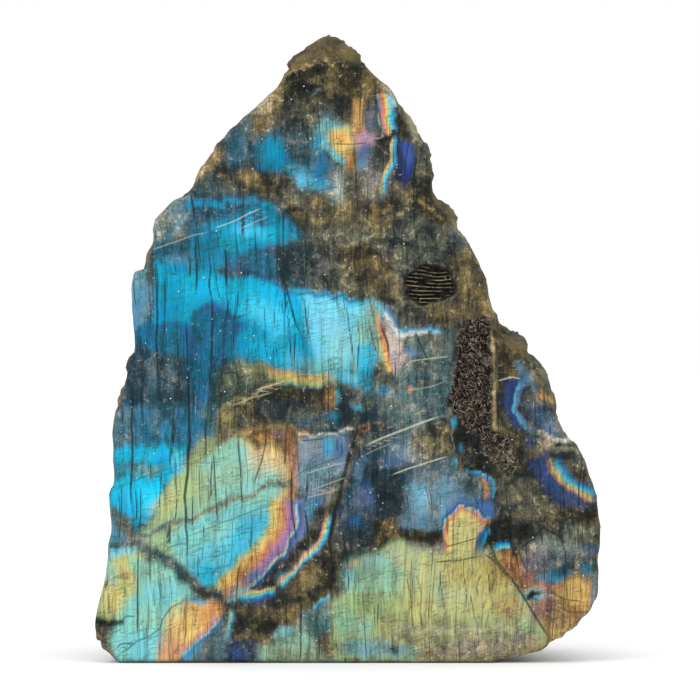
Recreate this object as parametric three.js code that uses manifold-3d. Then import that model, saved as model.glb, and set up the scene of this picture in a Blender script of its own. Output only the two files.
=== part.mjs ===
// A semi-polished labradorite chunk: one piece of feldspar, sawn flat underneath so that it
// stands, ground to a polished face in front, and left as it broke on its sides and back.
// Millimetres. +Z is up, -Y is the polished face's side, and the origin is at the middle of
// the underside. It is made in the order that a stone worker makes the real one: a rough
// lump, pieces split off along its cleavage, the sawn base, the ground face, and the two
// hollows that the grinding didn't reach.

import * as THREE from "three";
import { mergeVertices } from "three/addons/utils/BufferGeometryUtils.js";
import Module from "manifold-3d";

const wasm = await Module();
wasm.setup();

// --- Driving dimensions -------------------------------------------------------------------

const DEPTH_AT_BASE = 40; // from the polished face to the back, along the sawn base
const DEPTH_AT_TOP = 17; // the same at the top
const TOP = 125.8; // the height of the highest point
const FACE_LEAN = 3.5; // degrees that the polished face leans back from upright
const GRIND_ALLOWANCE = 3; // how far the lump reaches in front of the ground face
const MIDDLE = [0, 50]; // x and z of a point that every part of the outline can see
const SEED = 41; // of the breaks' places and sizes
const SIDE_BREAKS = 64; // steps split off the sides
const SIDE_BITE = [0.6, 3.6]; // how deep they go, least and most
const BACK_BREAKS = 22; // slabs split off the back
const BACK_BITE = [0.4, 2.6];
const EDGE_BREAKS = 14; // slanting breaks along the edge of the back
const EDGE_BITE = [0.5, 4];
const RIM_LEFT_WHOLE = 1.4; // from the widest ring to the first break behind it
const WASTE_THICKNESS = 60; // more than the stone has left outside any cut

// The chunk's outline seen from the front, clockwise from its top: x, z and the width of the
// broken rim between the outline and the polished face. The saw removes what lies below 0.
const OUTLINE = [
  [-5.2, 125.8, 6.2], [-3.2, 125.6, 6.4], [0.4, 123.8, 5.6], [2.1, 122.7, 4.8], [3.0, 121.4, 4.0],
  [3.3, 120.2, 3.2], [5.3, 117.5, 1.6], [8.0, 115.2, 1.2], [9.8, 112.2, 1.6], [11.8, 110.3, 2.6],
  [14.0, 107.3, 2.8], [16.2, 103.9, 3.0], [17.5, 100.6, 3.6], [17.6, 99.6, 3.6], [17.3, 97.3, 3.0],
  [17.0, 96.0, 2.4], [17.0, 94.3, 2.2], [18.1, 93.0, 2.6], [19.8, 91.9, 3.2], [21.5, 89.8, 3.4],
  [22.2, 88.8, 3.2], [21.6, 87.2, 2.0], [23.7, 84.9, 1.8], [26.0, 80.8, 1.6], [27.7, 77.0, 1.8],
  [28.3, 73.2, 1.0], [29.9, 69.7, 1.8], [30.6, 68.2, 2.4], [31.5, 67.1, 3.6], [32.6, 66.8, 4.6],
  [34.0, 66.0, 5.2], [35.6, 64.7, 5.0], [36.4, 63.4, 4.2], [36.4, 62.1, 3.0], [38.6, 59.6, 2.2],
  [39.8, 57.7, 1.8], [40.6, 54.3, 1.4], [41.5, 53.0, 1.6], [41.9, 48.3, 0.9], [43.0, 46.2, 0.9],
  [45.6, 43.6, 1.0], [46.8, 41.9, 1.1], [47.7, 40.0, 1.2], [48.6, 36.6, 1.0], [49.8, 33.0, 0.9],
  [50.3, 29.0, 1.6], [51.1, 26.5, 1.8], [50.3, 22.2, 1.4], [50.1, 20.4, 1.2], [50.3, 18.4, 1.1],
  [50.0, 13.2, 1.0], [48.2, 9.8, 0.8], [46.9, 8.7, 0.8], [45.1, 6.4, 0.9], [43.8, 5.8, 0.8],
  [42.8, 4.9, 0.6], [41.2, 4.4, 0.6], [40.1, 3.7, 0.6], [39.7, 3.0, 0.6], [38.4, 2.1, 0.5],
  [35.4, 1.5, 0.5], [33.9, 1.0, 0.5], [30.0, 0.6, 0.4], [26.0, -1.6, 0.4], [20.0, -9.0, 0.4],
  [10.0, -9.0, 0.4], [0.0, -9.0, 0.4], [-10.0, -9.0, 0.4], [-20.0, -9.0, 0.4], [-30.0, -9.0, 0.4],
  [-38.0, -9.0, 0.4], [-42.5, -3.0, 0.4], [-46.4, -0.1, 0.6], [-48.4, 1.5, 1.8], [-49.5, 1.9, 1.8],
  [-50.1, 2.5, 1.6], [-50.0, 3.9, 1.2], [-50.9, 4.2, 0.9], [-51.0, 7.6, 0.5], [-50.3, 11.7, 0.4],
  [-49.0, 16.5, 0.4], [-48.4, 20.9, 0.4], [-48.3, 23.8, 0.6], [-47.8, 25.4, 0.6],
  [-47.6, 27.4, 0.5], [-48.3, 33.4, 0.4], [-48.0, 34.6, 0.5], [-47.3, 35.4, 0.5],
  [-47.2, 37.4, 0.6], [-47.6, 40.9, 0.7], [-47.4, 43.1, 0.7], [-47.7, 45.2, 0.8],
  [-47.2, 49.8, 1.0], [-46.6, 50.8, 1.4], [-46.6, 52.2, 1.6], [-45.3, 56.3, 1.5],
  [-44.9, 59.4, 1.6], [-44.4, 60.8, 1.5], [-43.5, 61.6, 1.0], [-43.0, 62.7, 0.6],
  [-43.6, 69.8, 0.4], [-43.7, 75.0, 0.4], [-43.3, 77.9, 0.6], [-41.2, 79.1, 1.3],
  [-41.1, 80.8, 1.7], [-40.6, 82.1, 1.6], [-39.5, 83.4, 0.9], [-39.5, 87.0, 0.7],
  [-38.9, 88.6, 0.7], [-36.4, 91.3, 0.7], [-35.4, 92.3, 0.7], [-33.9, 93.0, 0.8],
  [-31.8, 94.6, 0.9], [-30.7, 97.2, 0.8], [-30.5, 98.3, 0.7], [-27.8, 101.5, 0.8],
  [-26.6, 103.8, 0.8], [-24.7, 105.4, 0.8], [-24.2, 106.4, 0.8], [-22.6, 107.7, 0.9],
  [-21.6, 109.0, 0.9], [-17.6, 112.3, 1.2], [-16.4, 113.7, 1.2], [-15.0, 114.6, 1.2],
  [-14.0, 115.9, 1.3], [-13.1, 118.6, 2.4], [-12.2, 120.2, 3.2], [-10.8, 121.8, 4.0],
  [-7.8, 124.0, 5.4],
];

const HOLLOW_DEPTH = 1.1;
// One hollow still has the marks of the saw across it.
const SAWN_HOLLOW = { x: 16.2, z: 75.4, halfWidth: 5.1, halfHeight: 4.1 };
const SAW_MARKS = 10;
const SAW_MARK_WIDTH = 0.5;
// The rough hollow lies in two parts that run into each other: x and z round each of them.
const ROUGH_HOLLOW_ABOVE = [
  [23.4, 67.9], [26.0, 68.9], [28.4, 68.6], [29.2, 66.0], [29.0, 62.8], [28.9, 58.0], [29.4, 53.0],
  [29.4, 49.0], [29.2, 45.4], [26.4, 44.4], [24.0, 45.6], [21.9, 48.4], [20.2, 51.4], [20.6, 55.0],
  [21.0, 59.0], [21.6, 63.0], [22.2, 66.0],
];
const ROUGH_HOLLOW_BELOW = [
  [26.2, 45.6], [28.6, 46.4], [30.8, 45.4], [32.8, 43.8], [34.0, 40.8], [33.4, 37.9], [31.4, 36.4],
  [29.8, 38.6], [27.8, 40.9], [26.4, 42.8],
];

// --- The lump as it was quarried ----------------------------------------------------------

const BEHIND_RIM = { least: 0.8, perRim: 1.1 }; // how far behind the face a rim meets the side
const BELLY = 1.5; // above 1, the stone keeps its depth for longer and thins nearer the top
const SIDE_RINGS = 6; // from the rim to the edge of the back
const SIDE_DRAW_IN = 7; // how much the sides draw in on their way to the back
const SIDE_SHARE = 0.8; // the share of the depth that the sides take; the back takes the rest
const SIDE_LUMPS = 1.2;
const CHIPPING = 0.8; // how far a point may lie in from its ring, so that no two facets align
const BACK_RINGS = [0.8, 0.58, 0.34, 0.14]; // their size as a share of the back's edge
const BACK_LUMPS = 2.2;

const leanSlope = Math.tan(THREE.MathUtils.degToRad(FACE_LEAN));
const faceY = (z) => -DEPTH_AT_BASE / 2 + leanSlope * z;
const thinning = (z) => Math.max(z / TOP, 0) ** BELLY;
const depthAt = (z) => THREE.MathUtils.lerp(DEPTH_AT_BASE, DEPTH_AT_TOP, thinning(z));
const behindRim = (rim) => BEHIND_RIM.least + BEHIND_RIM.perRim * rim;
const drawIn = (share) => SIDE_DRAW_IN * share ** 2.2;

// A repeatable stream of random numbers between 0 and 1.
function randomStream(seed) {
  let state = seed;
  return () => {
    state = (state + 0x6d2b79f5) | 0;
    let mixed = Math.imul(state ^ (state >>> 15), 1 | state);
    mixed = (mixed + Math.imul(mixed ^ (mixed >>> 7), 61 | mixed)) ^ mixed;
    return ((mixed ^ (mixed >>> 14)) >>> 0) / 4294967296;
  };
}

const chance = randomStream(SEED);
const between = (low, high) => low + (high - low) * chance();

// Broad lumps of broken rock, about -1 to 1, that run smoothly over the stone.
function lumpiness(x, y, z) {
  const broad = Math.sin(x / 8.3 + 1.3) * Math.cos(z / 9.7 + 0.4) + Math.sin(y / 6.1 + z / 14.9);
  const small = Math.sin(x / 3.9 - z / 4.7 + 2.1) * Math.cos(z / 3.3 + y / 2.9);
  return 0.38 * broad + 0.24 * small;
}

// A point `behind` the polished face and `inset` towards the middle from an outline point.
function pointInside([x, z], inset, behind) {
  const reach = Math.hypot(x - MIDDLE[0], z - MIDDLE[1]);
  const share = 1 - Math.max(inset, 0) / reach;
  const insideZ = MIDDLE[1] + (z - MIDDLE[1]) * share;
  return [MIDDLE[0] + (x - MIDDLE[0]) * share, faceY(insideZ) + behind, insideZ];
}

// The broken rim, from in front of the ground face to where the outline is widest.
function rimRings() {
  return [
    OUTLINE.map(([x, z, rim]) => {
      const flare = 1 + GRIND_ALLOWANCE / behindRim(rim);
      return pointInside([x, z], rim * flare, -GRIND_ALLOWANCE);
    }),
    OUTLINE.map(([x, z, rim]) => {
      const inset = rim * (between(0.2, 0.6) + 0.2 * lumpiness(3 * x, 0, 3 * z));
      return pointInside([x, z], inset, behindRim(rim) * between(0.35, 0.6));
    }),
    OUTLINE.map(([x, z, rim]) => pointInside([x, z], 0, behindRim(rim))),
  ];
}

// A ring of the sides, `share` of the way from the rim to the back's edge.
function sideRing(share) {
  return OUTLINE.map(([x, z, rim]) => {
    const behind = THREE.MathUtils.lerp(behindRim(rim), SIDE_SHARE * depthAt(z), share);
    const lumps = SIDE_LUMPS * (1 + lumpiness(x, 2 * behind, z)) + between(0, CHIPPING);
    return pointInside([x, z], drawIn(share) + lumps * Math.min(1, 2 * share), behind);
  });
}

// How far behind the face the back lies at a point, where `size` is 0 at the back's middle
// and 1 at its edge.
function backDepth(x, z, size) {
  const crown = THREE.MathUtils.lerp(1, SIDE_SHARE, size ** 2.5);
  return depthAt(z) * crown + BACK_LUMPS * lumpiness(x, DEPTH_AT_BASE, z) - between(0, CHIPPING);
}

function backRing(size) {
  return OUTLINE.map(([x, z]) => {
    const reach = Math.hypot(x - MIDDLE[0], z - MIDDLE[1]);
    const inset = reach - (reach - SIDE_DRAW_IN) * size;
    const [insideX, front, insideZ] = pointInside([x, z], inset, 0);
    return [insideX, front + backDepth(insideX, insideZ, size), insideZ];
  });
}

const middlePoint = (behind) => [MIDDLE[0], faceY(MIDDLE[1]) + behind, MIDDLE[1]];

// A closed geometry through rings of equal length, clockwise seen from the front, that are
// closed at each end by a fan to a point.
function loftThrough(rings, frontPoint, backPoint) {
  const count = rings[0].length;
  const frontIndex = rings.length * count;
  const triangles = [];
  for (let index = 0; index < count; index += 1) {
    const next = (index + 1) % count;
    for (let ring = 0; ring + 1 < rings.length; ring += 1) {
      const here = ring * count;
      const beyond = here + count;
      triangles.push(here + index, here + next, beyond + next);
      triangles.push(here + index, beyond + next, beyond + index);
    }
    triangles.push(frontIndex, next, index);
    triangles.push(frontIndex + 1, frontIndex - count + index, frontIndex - count + next);
  }
  const points = [...rings.flat(), frontPoint, backPoint];
  const geometry = new THREE.BufferGeometry();
  geometry.setAttribute("position", new THREE.Float32BufferAttribute(points.flat(), 3));
  geometry.setIndex(triangles);
  return geometry;
}

function quarriedLump() {
  const sides = Array.from({ length: SIDE_RINGS }, (_, step) => sideRing((step + 1) / SIDE_RINGS));
  const rings = [...rimRings(), ...sides, ...BACK_RINGS.map(backRing)];
  const front = middlePoint(-GRIND_ALLOWANCE);
  const back = middlePoint(backDepth(MIDDLE[0], MIDDLE[1], 0));
  return solidFrom(loftThrough(rings, front, back));
}

// --- Cutting ------------------------------------------------------------------------------

// A closed geometry as a solid that can be cut.
function solidFrom(geometry) {
  geometry.deleteAttribute("normal");
  geometry.deleteAttribute("uv");
  const merged = mergeVertices(geometry);
  const vertProperties = merged.attributes.position.array;
  const triVerts = new Uint32Array(merged.index.array);
  return new wasm.Manifold(new wasm.Mesh({ numProp: 3, vertProperties, triVerts }));
}

function geometryFrom(solid) {
  const { vertProperties, triVerts } = solid.getMesh();
  const geometry = new THREE.BufferGeometry();
  geometry.setAttribute("position", new THREE.BufferAttribute(vertProperties, 3));
  geometry.setIndex(new THREE.BufferAttribute(triVerts, 1));
  return geometry;
}

// A block of waste whose inner face passes through `at` and looks against `outward`. The face
// is `along` long in the direction `run`, and `across` wide.
function wasteBlock({ at, outward, run, along, across }) {
  const block = new THREE.BoxGeometry(across, along, WASTE_THICKNESS);
  block.translate(0, 0, WASTE_THICKNESS / 2);
  const normal = outward.clone().normalize();
  const side = new THREE.Vector3().crossVectors(run, normal).normalize();
  const up = new THREE.Vector3().crossVectors(normal, side);
  block.applyMatrix4(new THREE.Matrix4().makeBasis(side, up, normal).setPosition(at));
  return solidFrom(block);
}

// --- Breaks along the cleavage ------------------------------------------------------------

// Feldspar splits in two directions almost square to each other. Here they stand upright and
// level, and each break is a few degrees off its direction.
const UPRIGHT = new THREE.Vector3(0, 0, 1);
const LEVEL = new THREE.Vector3(1, 0, 0);
const BACKWARDS = new THREE.Vector3(0, 1, 0);

function nearly(direction, spread) {
  const [turnX, turnY, turnZ] = [0, 1, 2].map(() => between(-spread, spread));
  return direction.clone().add(new THREE.Vector3(turnX, turnY, turnZ)).normalize();
}

// The tip and the sawn base stay clear of the breaks.
const FLANKS = OUTLINE.filter(([, z]) => z > 4 && z < TOP - 12);
const flankPoint = (share) => FLANKS[Math.floor(share * FLANKS.length)];

// A step split off a side, which begins well behind the rim and runs towards the back.
function sideBreak() {
  const [x, z, rim] = flankPoint(chance());
  const start = behindRim(rim) + RIM_LEFT_WHOLE;
  const end = SIDE_SHARE * depthAt(z) + 4;
  const front = THREE.MathUtils.lerp(start, end, 0.7 * chance() ** 2);
  const across = chance() < 0.6 ? DEPTH_AT_BASE : between(0.35, 0.8) * (end - front);
  const share = Math.min(1, (front - start) / (end - start) + 0.2);
  const bite = drawIn(share) + SIDE_LUMPS + between(...SIDE_BITE);
  const [atX, frontY, atZ] = pointInside([x, z], bite, front);
  const at = new THREE.Vector3(atX, frontY + across / 2, atZ);
  const lean = Math.abs(x - MIDDLE[0]) / Math.hypot(x - MIDDLE[0], z - MIDDLE[1]);
  const onTop = z > MIDDLE[1] && chance() > lean;
  const outward = nearly(onTop ? UPRIGHT : LEVEL.clone().multiplyScalar(Math.sign(x)), 0.12);
  return wasteBlock({ at, outward, run: onTop ? LEVEL : UPRIGHT, along: between(6, 20), across });
}

// A slab split off the back.
function backBreak() {
  const [x, z] = flankPoint(chance());
  const size = between(0.1, 0.85);
  const reach = Math.hypot(x - MIDDLE[0], z - MIDDLE[1]);
  const [atX, front, atZ] = pointInside([x, z], reach * (1 - size), 0);
  const behind = backDepth(atX, atZ, size) - between(...BACK_BITE);
  const at = new THREE.Vector3(atX, front + behind, atZ);
  const outward = nearly(BACKWARDS, 0.2);
  const run = nearly(UPRIGHT, 0.3);
  return wasteBlock({ at, outward, run, along: between(14, 46), across: between(12, 34) });
}

// A slanting break that takes off the edge between a side and the back, `share` of the way
// round the stone.
function edgeBreak(share) {
  const [x, z] = flankPoint(share);
  const inset = SIDE_DRAW_IN + SIDE_LUMPS + between(...EDGE_BITE);
  const [atX, atY, atZ] = pointInside([x, z], inset, SIDE_SHARE * depthAt(z));
  const slant = THREE.MathUtils.degToRad(between(28, 58));
  const away = new THREE.Vector3(x - MIDDLE[0], 0, z - MIDDLE[1]).normalize();
  const outward = away.multiplyScalar(Math.sin(slant)).addScaledVector(BACKWARDS, Math.cos(slant));
  const run = new THREE.Vector3(z - MIDDLE[1], 0, MIDDLE[0] - x).normalize();
  const at = new THREE.Vector3(atX, atY, atZ);
  return wasteBlock({ at, outward, run, along: between(16, 38), across: between(20, 34) });
}

// --- Sawing, grinding and the hollows -----------------------------------------------------

function sawnWaste() {
  const at = new THREE.Vector3(0, 0, 0);
  const outward = UPRIGHT.clone().negate();
  return wasteBlock({ at, outward, run: BACKWARDS, along: 2 * TOP, across: 2 * TOP });
}

function groundWaste() {
  const at = new THREE.Vector3(0, faceY(0), 0);
  const outward = new THREE.Vector3(0, -1, leanSlope);
  return wasteBlock({ at, outward, run: UPRIGHT, along: 3 * TOP, across: 2 * TOP });
}

// A shallow dish with a rough floor, from its outline on the face, clockwise from the front.
function hollowIn(outline) {
  const middleX = outline.reduce((sum, [x]) => sum + x, 0) / outline.length;
  const middleZ = outline.reduce((sum, [, z]) => sum + z, 0) / outline.length;
  const ringOf = (size, depth, rough) =>
    outline.map(([x, z]) => {
      const ringX = middleX + (x - middleX) * size;
      const ringZ = middleZ + (z - middleZ) * size;
      return [ringX, faceY(ringZ) + depth * between(1 - rough, 1 + rough), ringZ];
    });
  const rings = [
    ringOf(1.08, -GRIND_ALLOWANCE / 2, 0),
    ringOf(0.97, HOLLOW_DEPTH * 0.5, 0.2),
    ringOf(0.86, HOLLOW_DEPTH, 0.3),
    ringOf(0.55, HOLLOW_DEPTH, 0.4),
    ringOf(0.25, HOLLOW_DEPTH, 0.3),
  ];
  const front = [middleX, faceY(middleZ) - GRIND_ALLOWANCE / 2, middleZ];
  const floor = [middleX, faceY(middleZ) + HOLLOW_DEPTH, middleZ];
  return solidFrom(loftThrough(rings, front, floor));
}

function sawnHollowOutline() {
  const { x, z, halfWidth, halfHeight } = SAWN_HOLLOW;
  const steps = 22;
  return Array.from({ length: steps }, (_, step) => {
    const angle = (-2 * Math.PI * step) / steps;
    return [x + halfWidth * Math.cos(angle), z + halfHeight * Math.sin(angle)];
  });
}

// A groove that the saw left across the floor of its hollow, at `share` of the way up.
function sawMark(share) {
  const { x, z, halfWidth, halfHeight } = SAWN_HOLLOW;
  const up = 2 * share - 1;
  const length = 1.7 * halfWidth * Math.sqrt(1 - up * up);
  const groove = new THREE.BoxGeometry(length, SAW_MARK_WIDTH, SAW_MARK_WIDTH);
  groove.rotateX(Math.PI / 4);
  groove.rotateY(between(-0.05, 0.05));
  groove.translate(x + between(-0.3, 0.3), faceY(z) + HOLLOW_DEPTH, z + 0.9 * up * halfHeight);
  return solidFrom(groove);
}

// --- The chunk ----------------------------------------------------------------------------

function chunkSolid() {
  const waste = [
    ...Array.from({ length: SIDE_BREAKS }, sideBreak),
    ...Array.from({ length: BACK_BREAKS }, backBreak),
    ...Array.from({ length: EDGE_BREAKS }, (_, step) => edgeBreak(step / EDGE_BREAKS)),
    sawnWaste(),
    groundWaste(),
    ...[sawnHollowOutline(), ROUGH_HOLLOW_ABOVE, ROUGH_HOLLOW_BELOW].map(hollowIn),
    ...Array.from({ length: SAW_MARKS }, (_, step) => sawMark((step + 0.5) / SAW_MARKS)),
  ];
  const cut = waste.reduce((stone, piece) => stone.subtract(piece), quarriedLump());
  return largestOf(cut.decompose());
}

// Chips that two breaks have cut loose between them fall away.
function largestOf(pieces) {
  return pieces.reduce((most, piece) => (piece.volume() > most.volume() ? piece : most));
}

// The chunk's geometry with the middle of its underside at the origin.
function chunkGeometry() {
  const geometry = geometryFrom(chunkSolid());
  geometry.computeBoundingBox();
  const { min, max } = geometry.boundingBox;
  geometry.translate(-(min.x + max.x) / 2, -(min.y + max.y) / 2, -min.z);
  geometry.computeVertexNormals();
  return geometry;
}

const stone = new THREE.MeshStandardMaterial({ color: 0x5f6f6c, roughness: 0.35, metalness: 0 });

const chunk = new THREE.Mesh(chunkGeometry(), stone);
chunk.name = "labradorite_chunk";

const model = new THREE.Group();
model.add(chunk);

export default model;
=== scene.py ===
# %% [markdown]
# # A semi-polished labradorite chunk
#
# Labradorite is a dark feldspar. Light that enters it is thrown back by thin layers inside the crystal, so
# a polished face flashes blue, cyan, green and gold in patches, and the colours follow each other in the
# order of the rainbow where the layers get thicker. This chunk stands on a sawn base. Its front was ground
# flat and polished, its rim is broken, and its sides and back are rough.
#
# The solid comes from the frame. This lesson gives it a fine surface, paints the places of the flashes as
# plain numbers on the mesh, and lets one material turn those numbers into stone.

# %% Load the frame
import math

import bmesh
import bpy
import numpy as np
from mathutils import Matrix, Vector, noise
from mathutils.bvhtree import BVHTree


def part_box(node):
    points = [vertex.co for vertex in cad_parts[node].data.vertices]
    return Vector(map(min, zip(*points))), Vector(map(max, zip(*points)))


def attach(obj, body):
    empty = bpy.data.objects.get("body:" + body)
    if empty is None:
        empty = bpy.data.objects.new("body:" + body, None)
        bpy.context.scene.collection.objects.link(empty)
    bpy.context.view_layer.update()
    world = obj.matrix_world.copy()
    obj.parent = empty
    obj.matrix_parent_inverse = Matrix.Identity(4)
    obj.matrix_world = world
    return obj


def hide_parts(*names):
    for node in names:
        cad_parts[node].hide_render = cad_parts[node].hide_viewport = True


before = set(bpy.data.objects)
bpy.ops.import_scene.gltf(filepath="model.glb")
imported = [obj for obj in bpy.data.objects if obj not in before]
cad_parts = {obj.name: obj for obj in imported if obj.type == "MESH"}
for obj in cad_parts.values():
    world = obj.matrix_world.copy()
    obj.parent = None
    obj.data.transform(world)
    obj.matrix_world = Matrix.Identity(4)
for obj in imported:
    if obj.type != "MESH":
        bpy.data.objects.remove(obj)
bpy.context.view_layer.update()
chunk_low, chunk_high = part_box("labradorite_chunk")
print("chunk, mm:", [round((high - low) * 1000, 1) for low, high in zip(chunk_low, chunk_high)])

# %% [markdown]
# ## Sizes
#
# Blender works in metres and a stone like this is thought of in millimetres, so one value turns one into
# the other. The polished face leans back from the sawn base by a few degrees: its plane is the only exact
# surface of the chunk, and everything on the front is measured from it.

# %% Sizes of the stone
MM = 0.001
FACE_LEAN = math.radians(3.5)
FACE_FOOT_Y = chunk_low[1] / MM
FACE_SLOPE = math.tan(FACE_LEAN)
FACE_NORMAL = Vector((0, -math.cos(FACE_LEAN), math.sin(FACE_LEAN)))

SKIN_GRID = 1.1
CUTS_ACROSS_GRAIN = 3
CUTS_ALONG_GRAIN = 1
print("the face's foot is at y =", round(FACE_FOOT_Y, 2), "mm")

# %% [markdown]
# ## Tools for painting by numbers
#
# The colours of a flash could be an image, but an image belongs to one stone. Here a few tools lay soft
# numbers over the face instead: distances to lines and outlines drawn one by one, and a smooth random
# noise that makes their edges wander as they do in a crystal. They work on all points of the mesh at once.

# %% Smooth noise and soft steps
NOISE_GRID = 128


def noise_table(seed):
    """Random heights from -1 to 1 on a square grid."""
    return np.random.default_rng(seed).random((NOISE_GRID, NOISE_GRID)) * 2 - 1


def soft_noise(x, z, size, seed):
    """Smooth noise from -1 to 1, with lumps about size millimetres across."""
    heights = noise_table(seed)
    u, v = x / size, z / size
    i, j = np.floor(u).astype(int), np.floor(v).astype(int)
    u, v = ease(0, 1, u - i), ease(0, 1, v - j)
    near, far = i % NOISE_GRID, (i + 1) % NOISE_GRID
    low, high = j % NOISE_GRID, (j + 1) % NOISE_GRID
    foot = heights[near, low] * (1 - u) + heights[far, low] * u
    head = heights[near, high] * (1 - u) + heights[far, high] * u
    return foot * (1 - v) + head * v


def ease(low, high, value):
    """0 below low, 1 above high, and a smooth step between."""
    share = np.clip((value - low) / (high - low), 0, 1)
    return share * share * (3 - 2 * share)


print("noise at the origin:", round(float(soft_noise(np.zeros(1), np.zeros(1), 4, 1)[0]), 3))


# %% Distances to a line and to an outline
def to_line(x, z, points):
    """Distance to a line of points, the share of its length passed there, and the side of it: 1 or -1."""
    distance = np.full(x.shape, 1e9)
    share = np.zeros(x.shape)
    side = np.ones(x.shape)
    steps = [math.dist(a, b) for a, b in zip(points, points[1:])]
    passed = 0
    for (ax, az), (bx, bz), step in zip(points, points[1:], steps):
        dx, dz = bx - ax, bz - az
        along = np.clip(((x - ax) * dx + (z - az) * dz) / max(step * step, 1e-9), 0, 1)
        off_x, off_z = x - ax - along * dx, z - az - along * dz
        off = np.hypot(off_x, off_z)
        nearer = off < distance
        distance = np.where(nearer, off, distance)
        share = np.where(nearer, (passed + along * step) / sum(steps), share)
        side = np.where(nearer, np.where(dx * off_z - dz * off_x > 0, 1, -1), side)
        passed += step
    return distance, share, side


def inside_by(x, z, outline):
    """Distance to the edge of a closed outline, positive inside and negative outside."""
    distance, _, _ = to_line(x, z, list(outline) + [outline[0]])
    inside = np.zeros(x.shape, bool)
    for (ax, az), (bx, bz) in zip(outline, list(outline[1:]) + [outline[0]]):
        if az != bz:
            crosses = (az > z) != (bz > z)
            inside ^= crosses & (x < ax + (z - az) * (bx - ax) / (bz - az))
    return np.where(inside, distance, -distance)


print("a point in a square:", inside_by(np.array([5.0]), np.array([4.0]), [(0, 0), (9, 0), (9, 9), (0, 9)]))

# %% [markdown]
# ## The skin of the stone
#
# The frame's solid has large flat facets, so it is copied and turned into an even skin by a voxel remesh.
# The polished face needs far more points than the rough sides, because every vein and colour edge on it is
# seen. The grain of the stone runs upwards, so the face's squares are cut more often across the grain than
# along it: the points go where the thin upright lines are.

# %% Where the polish did not reach
SAWN_HOLLOW = (16.2, 75.4)
SAWN_HOLLOW_HALF = (5.1, 4.1)
ROUGH_HOLLOW_ABOVE = [
    (22.6, 66.6), (23.6, 68.2), (26.0, 69.1), (28.3, 68.4), (28.6, 66.0), (28.2, 62.8), (28.4, 58.0),
    (28.6, 53.0), (28.4, 49.0), (28.2, 45.4), (26.4, 44.6), (24.6, 45.4), (22.4, 47.6), (21.6, 49.6),
    (19.2, 50.8), (18.9, 52.0), (20.4, 54.4), (20.6, 58.0), (21.6, 61.4), (21.2, 64.0),
]
ROUGH_HOLLOW_BELOW = [
    (26.2, 45.6), (28.6, 46.4), (30.8, 45.4), (32.8, 43.8), (34.0, 40.8), (33.4, 37.9), (31.4, 36.4),
    (29.8, 38.6), (27.8, 40.9), (26.4, 42.8),
]
HOLLOW_SLOPE = 0.9


def in_sawn_hollow(x, z):
    """Millimetres inside the sawn hollow, an uneven oval."""
    (middle_x, middle_z), (half_x, half_z) = SAWN_HOLLOW, SAWN_HOLLOW_HALF
    reach = np.hypot((x - middle_x) / half_x, (z - middle_z) / half_z)
    uneven = 0.5 * soft_noise(x, z, 2.4, 31)
    return (1 - reach) * half_z + uneven


def in_rough_hollow(x, z):
    """Millimetres inside the rough hollow, whose edge is ragged."""
    ragged = 0.45 * soft_noise(x, z, 1.5, 32) + 0.3 * soft_noise(x, z, 0.6, 33)
    above, below = inside_by(x, z, ROUGH_HOLLOW_ABOVE), inside_by(x, z, ROUGH_HOLLOW_BELOW)
    return np.maximum(above, below) + ragged


print("hollows:", "one sawn, one rough in two lobes")


# %% An even skin from the frame's solid
def merged_copy(cad_node):
    """The solid's own triangles, joined where they meet, as a new mesh in the scene's frame."""
    mesh = cad_node.data.copy()
    mesh.transform(cad_node.matrix_world)
    rough = bmesh.new()
    rough.from_mesh(mesh)
    bmesh.ops.remove_doubles(rough, verts=rough.verts, dist=0.001 * MM)
    rough.to_mesh(mesh)
    rough.free()
    return mesh


def even_skin(mesh, grid):
    """The same form with an even skin of small squares, whose points lie on the solid's facets."""
    solid = bmesh.new()
    solid.from_mesh(mesh)
    facets = BVHTree.FromBMesh(solid)
    solid.free()
    block = bpy.data.objects.new("stone_block", mesh)
    bpy.context.collection.objects.link(block)
    remesh = block.modifiers.new("even skin", "REMESH")
    remesh.mode = "VOXEL"
    remesh.voxel_size = grid * MM
    skin = bpy.data.meshes.new_from_object(block.evaluated_get(bpy.context.evaluated_depsgraph_get()))
    bpy.data.objects.remove(block)
    bpy.data.meshes.remove(mesh)
    for vertex in skin.vertices:
        vertex.co = facets.find_nearest(vertex.co)[0]
    return skin


skin_mesh = even_skin(merged_copy(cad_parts["labradorite_chunk"]), SKIN_GRID)
skin_mesh.name = "labradorite_skin"
print("even skin:", len(skin_mesh.polygons), "squares")


# %% More points on the polished face
def behind_face(points):
    """How far points lie behind the plane of the polished face, in millimetres."""
    return points[:, 1] - FACE_FOOT_Y - FACE_SLOPE * points[:, 2]


def points_of(bm):
    """All points of a bmesh in millimetres, as rows of x, y, z."""
    return np.array([v.co for v in bm.verts]) / MM


def face_points(bm):
    """True for each point that belongs to the polished face or to a hollow in it."""
    points = points_of(bm)
    x, z, depth = points[:, 0], points[:, 2], behind_face(points)
    facing = np.array([v.normal.dot(FACE_NORMAL) for v in bm.verts])
    hollow = np.maximum(in_sawn_hollow(x, z), in_rough_hollow(x, z)) > -1.3
    return ((depth < 0.45) & (facing > 0.75)) | (hollow & (depth < 2.2) & (facing > -0.2))


def cut_squares(bm, chosen, across, along):
    """Cuts the squares whose four points are chosen: across cuts on level edges, along on upright ones."""
    for cuts, level in ((across, True), (along, False)):
        if not cuts:
            continue
        edges = set()
        for square in bm.faces:
            if all(chosen[v.index] for v in square.verts):
                for edge in square.edges:
                    run = edge.verts[1].co - edge.verts[0].co
                    if (abs(run.x) > abs(run.z)) == level:
                        edges.add(edge)
        bmesh.ops.subdivide_edges(bm, edges=list(edges), cuts=cuts, use_grid_fill=True)
        bm.verts.index_update()
        bm.normal_update()
        chosen = face_points(bm)


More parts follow.
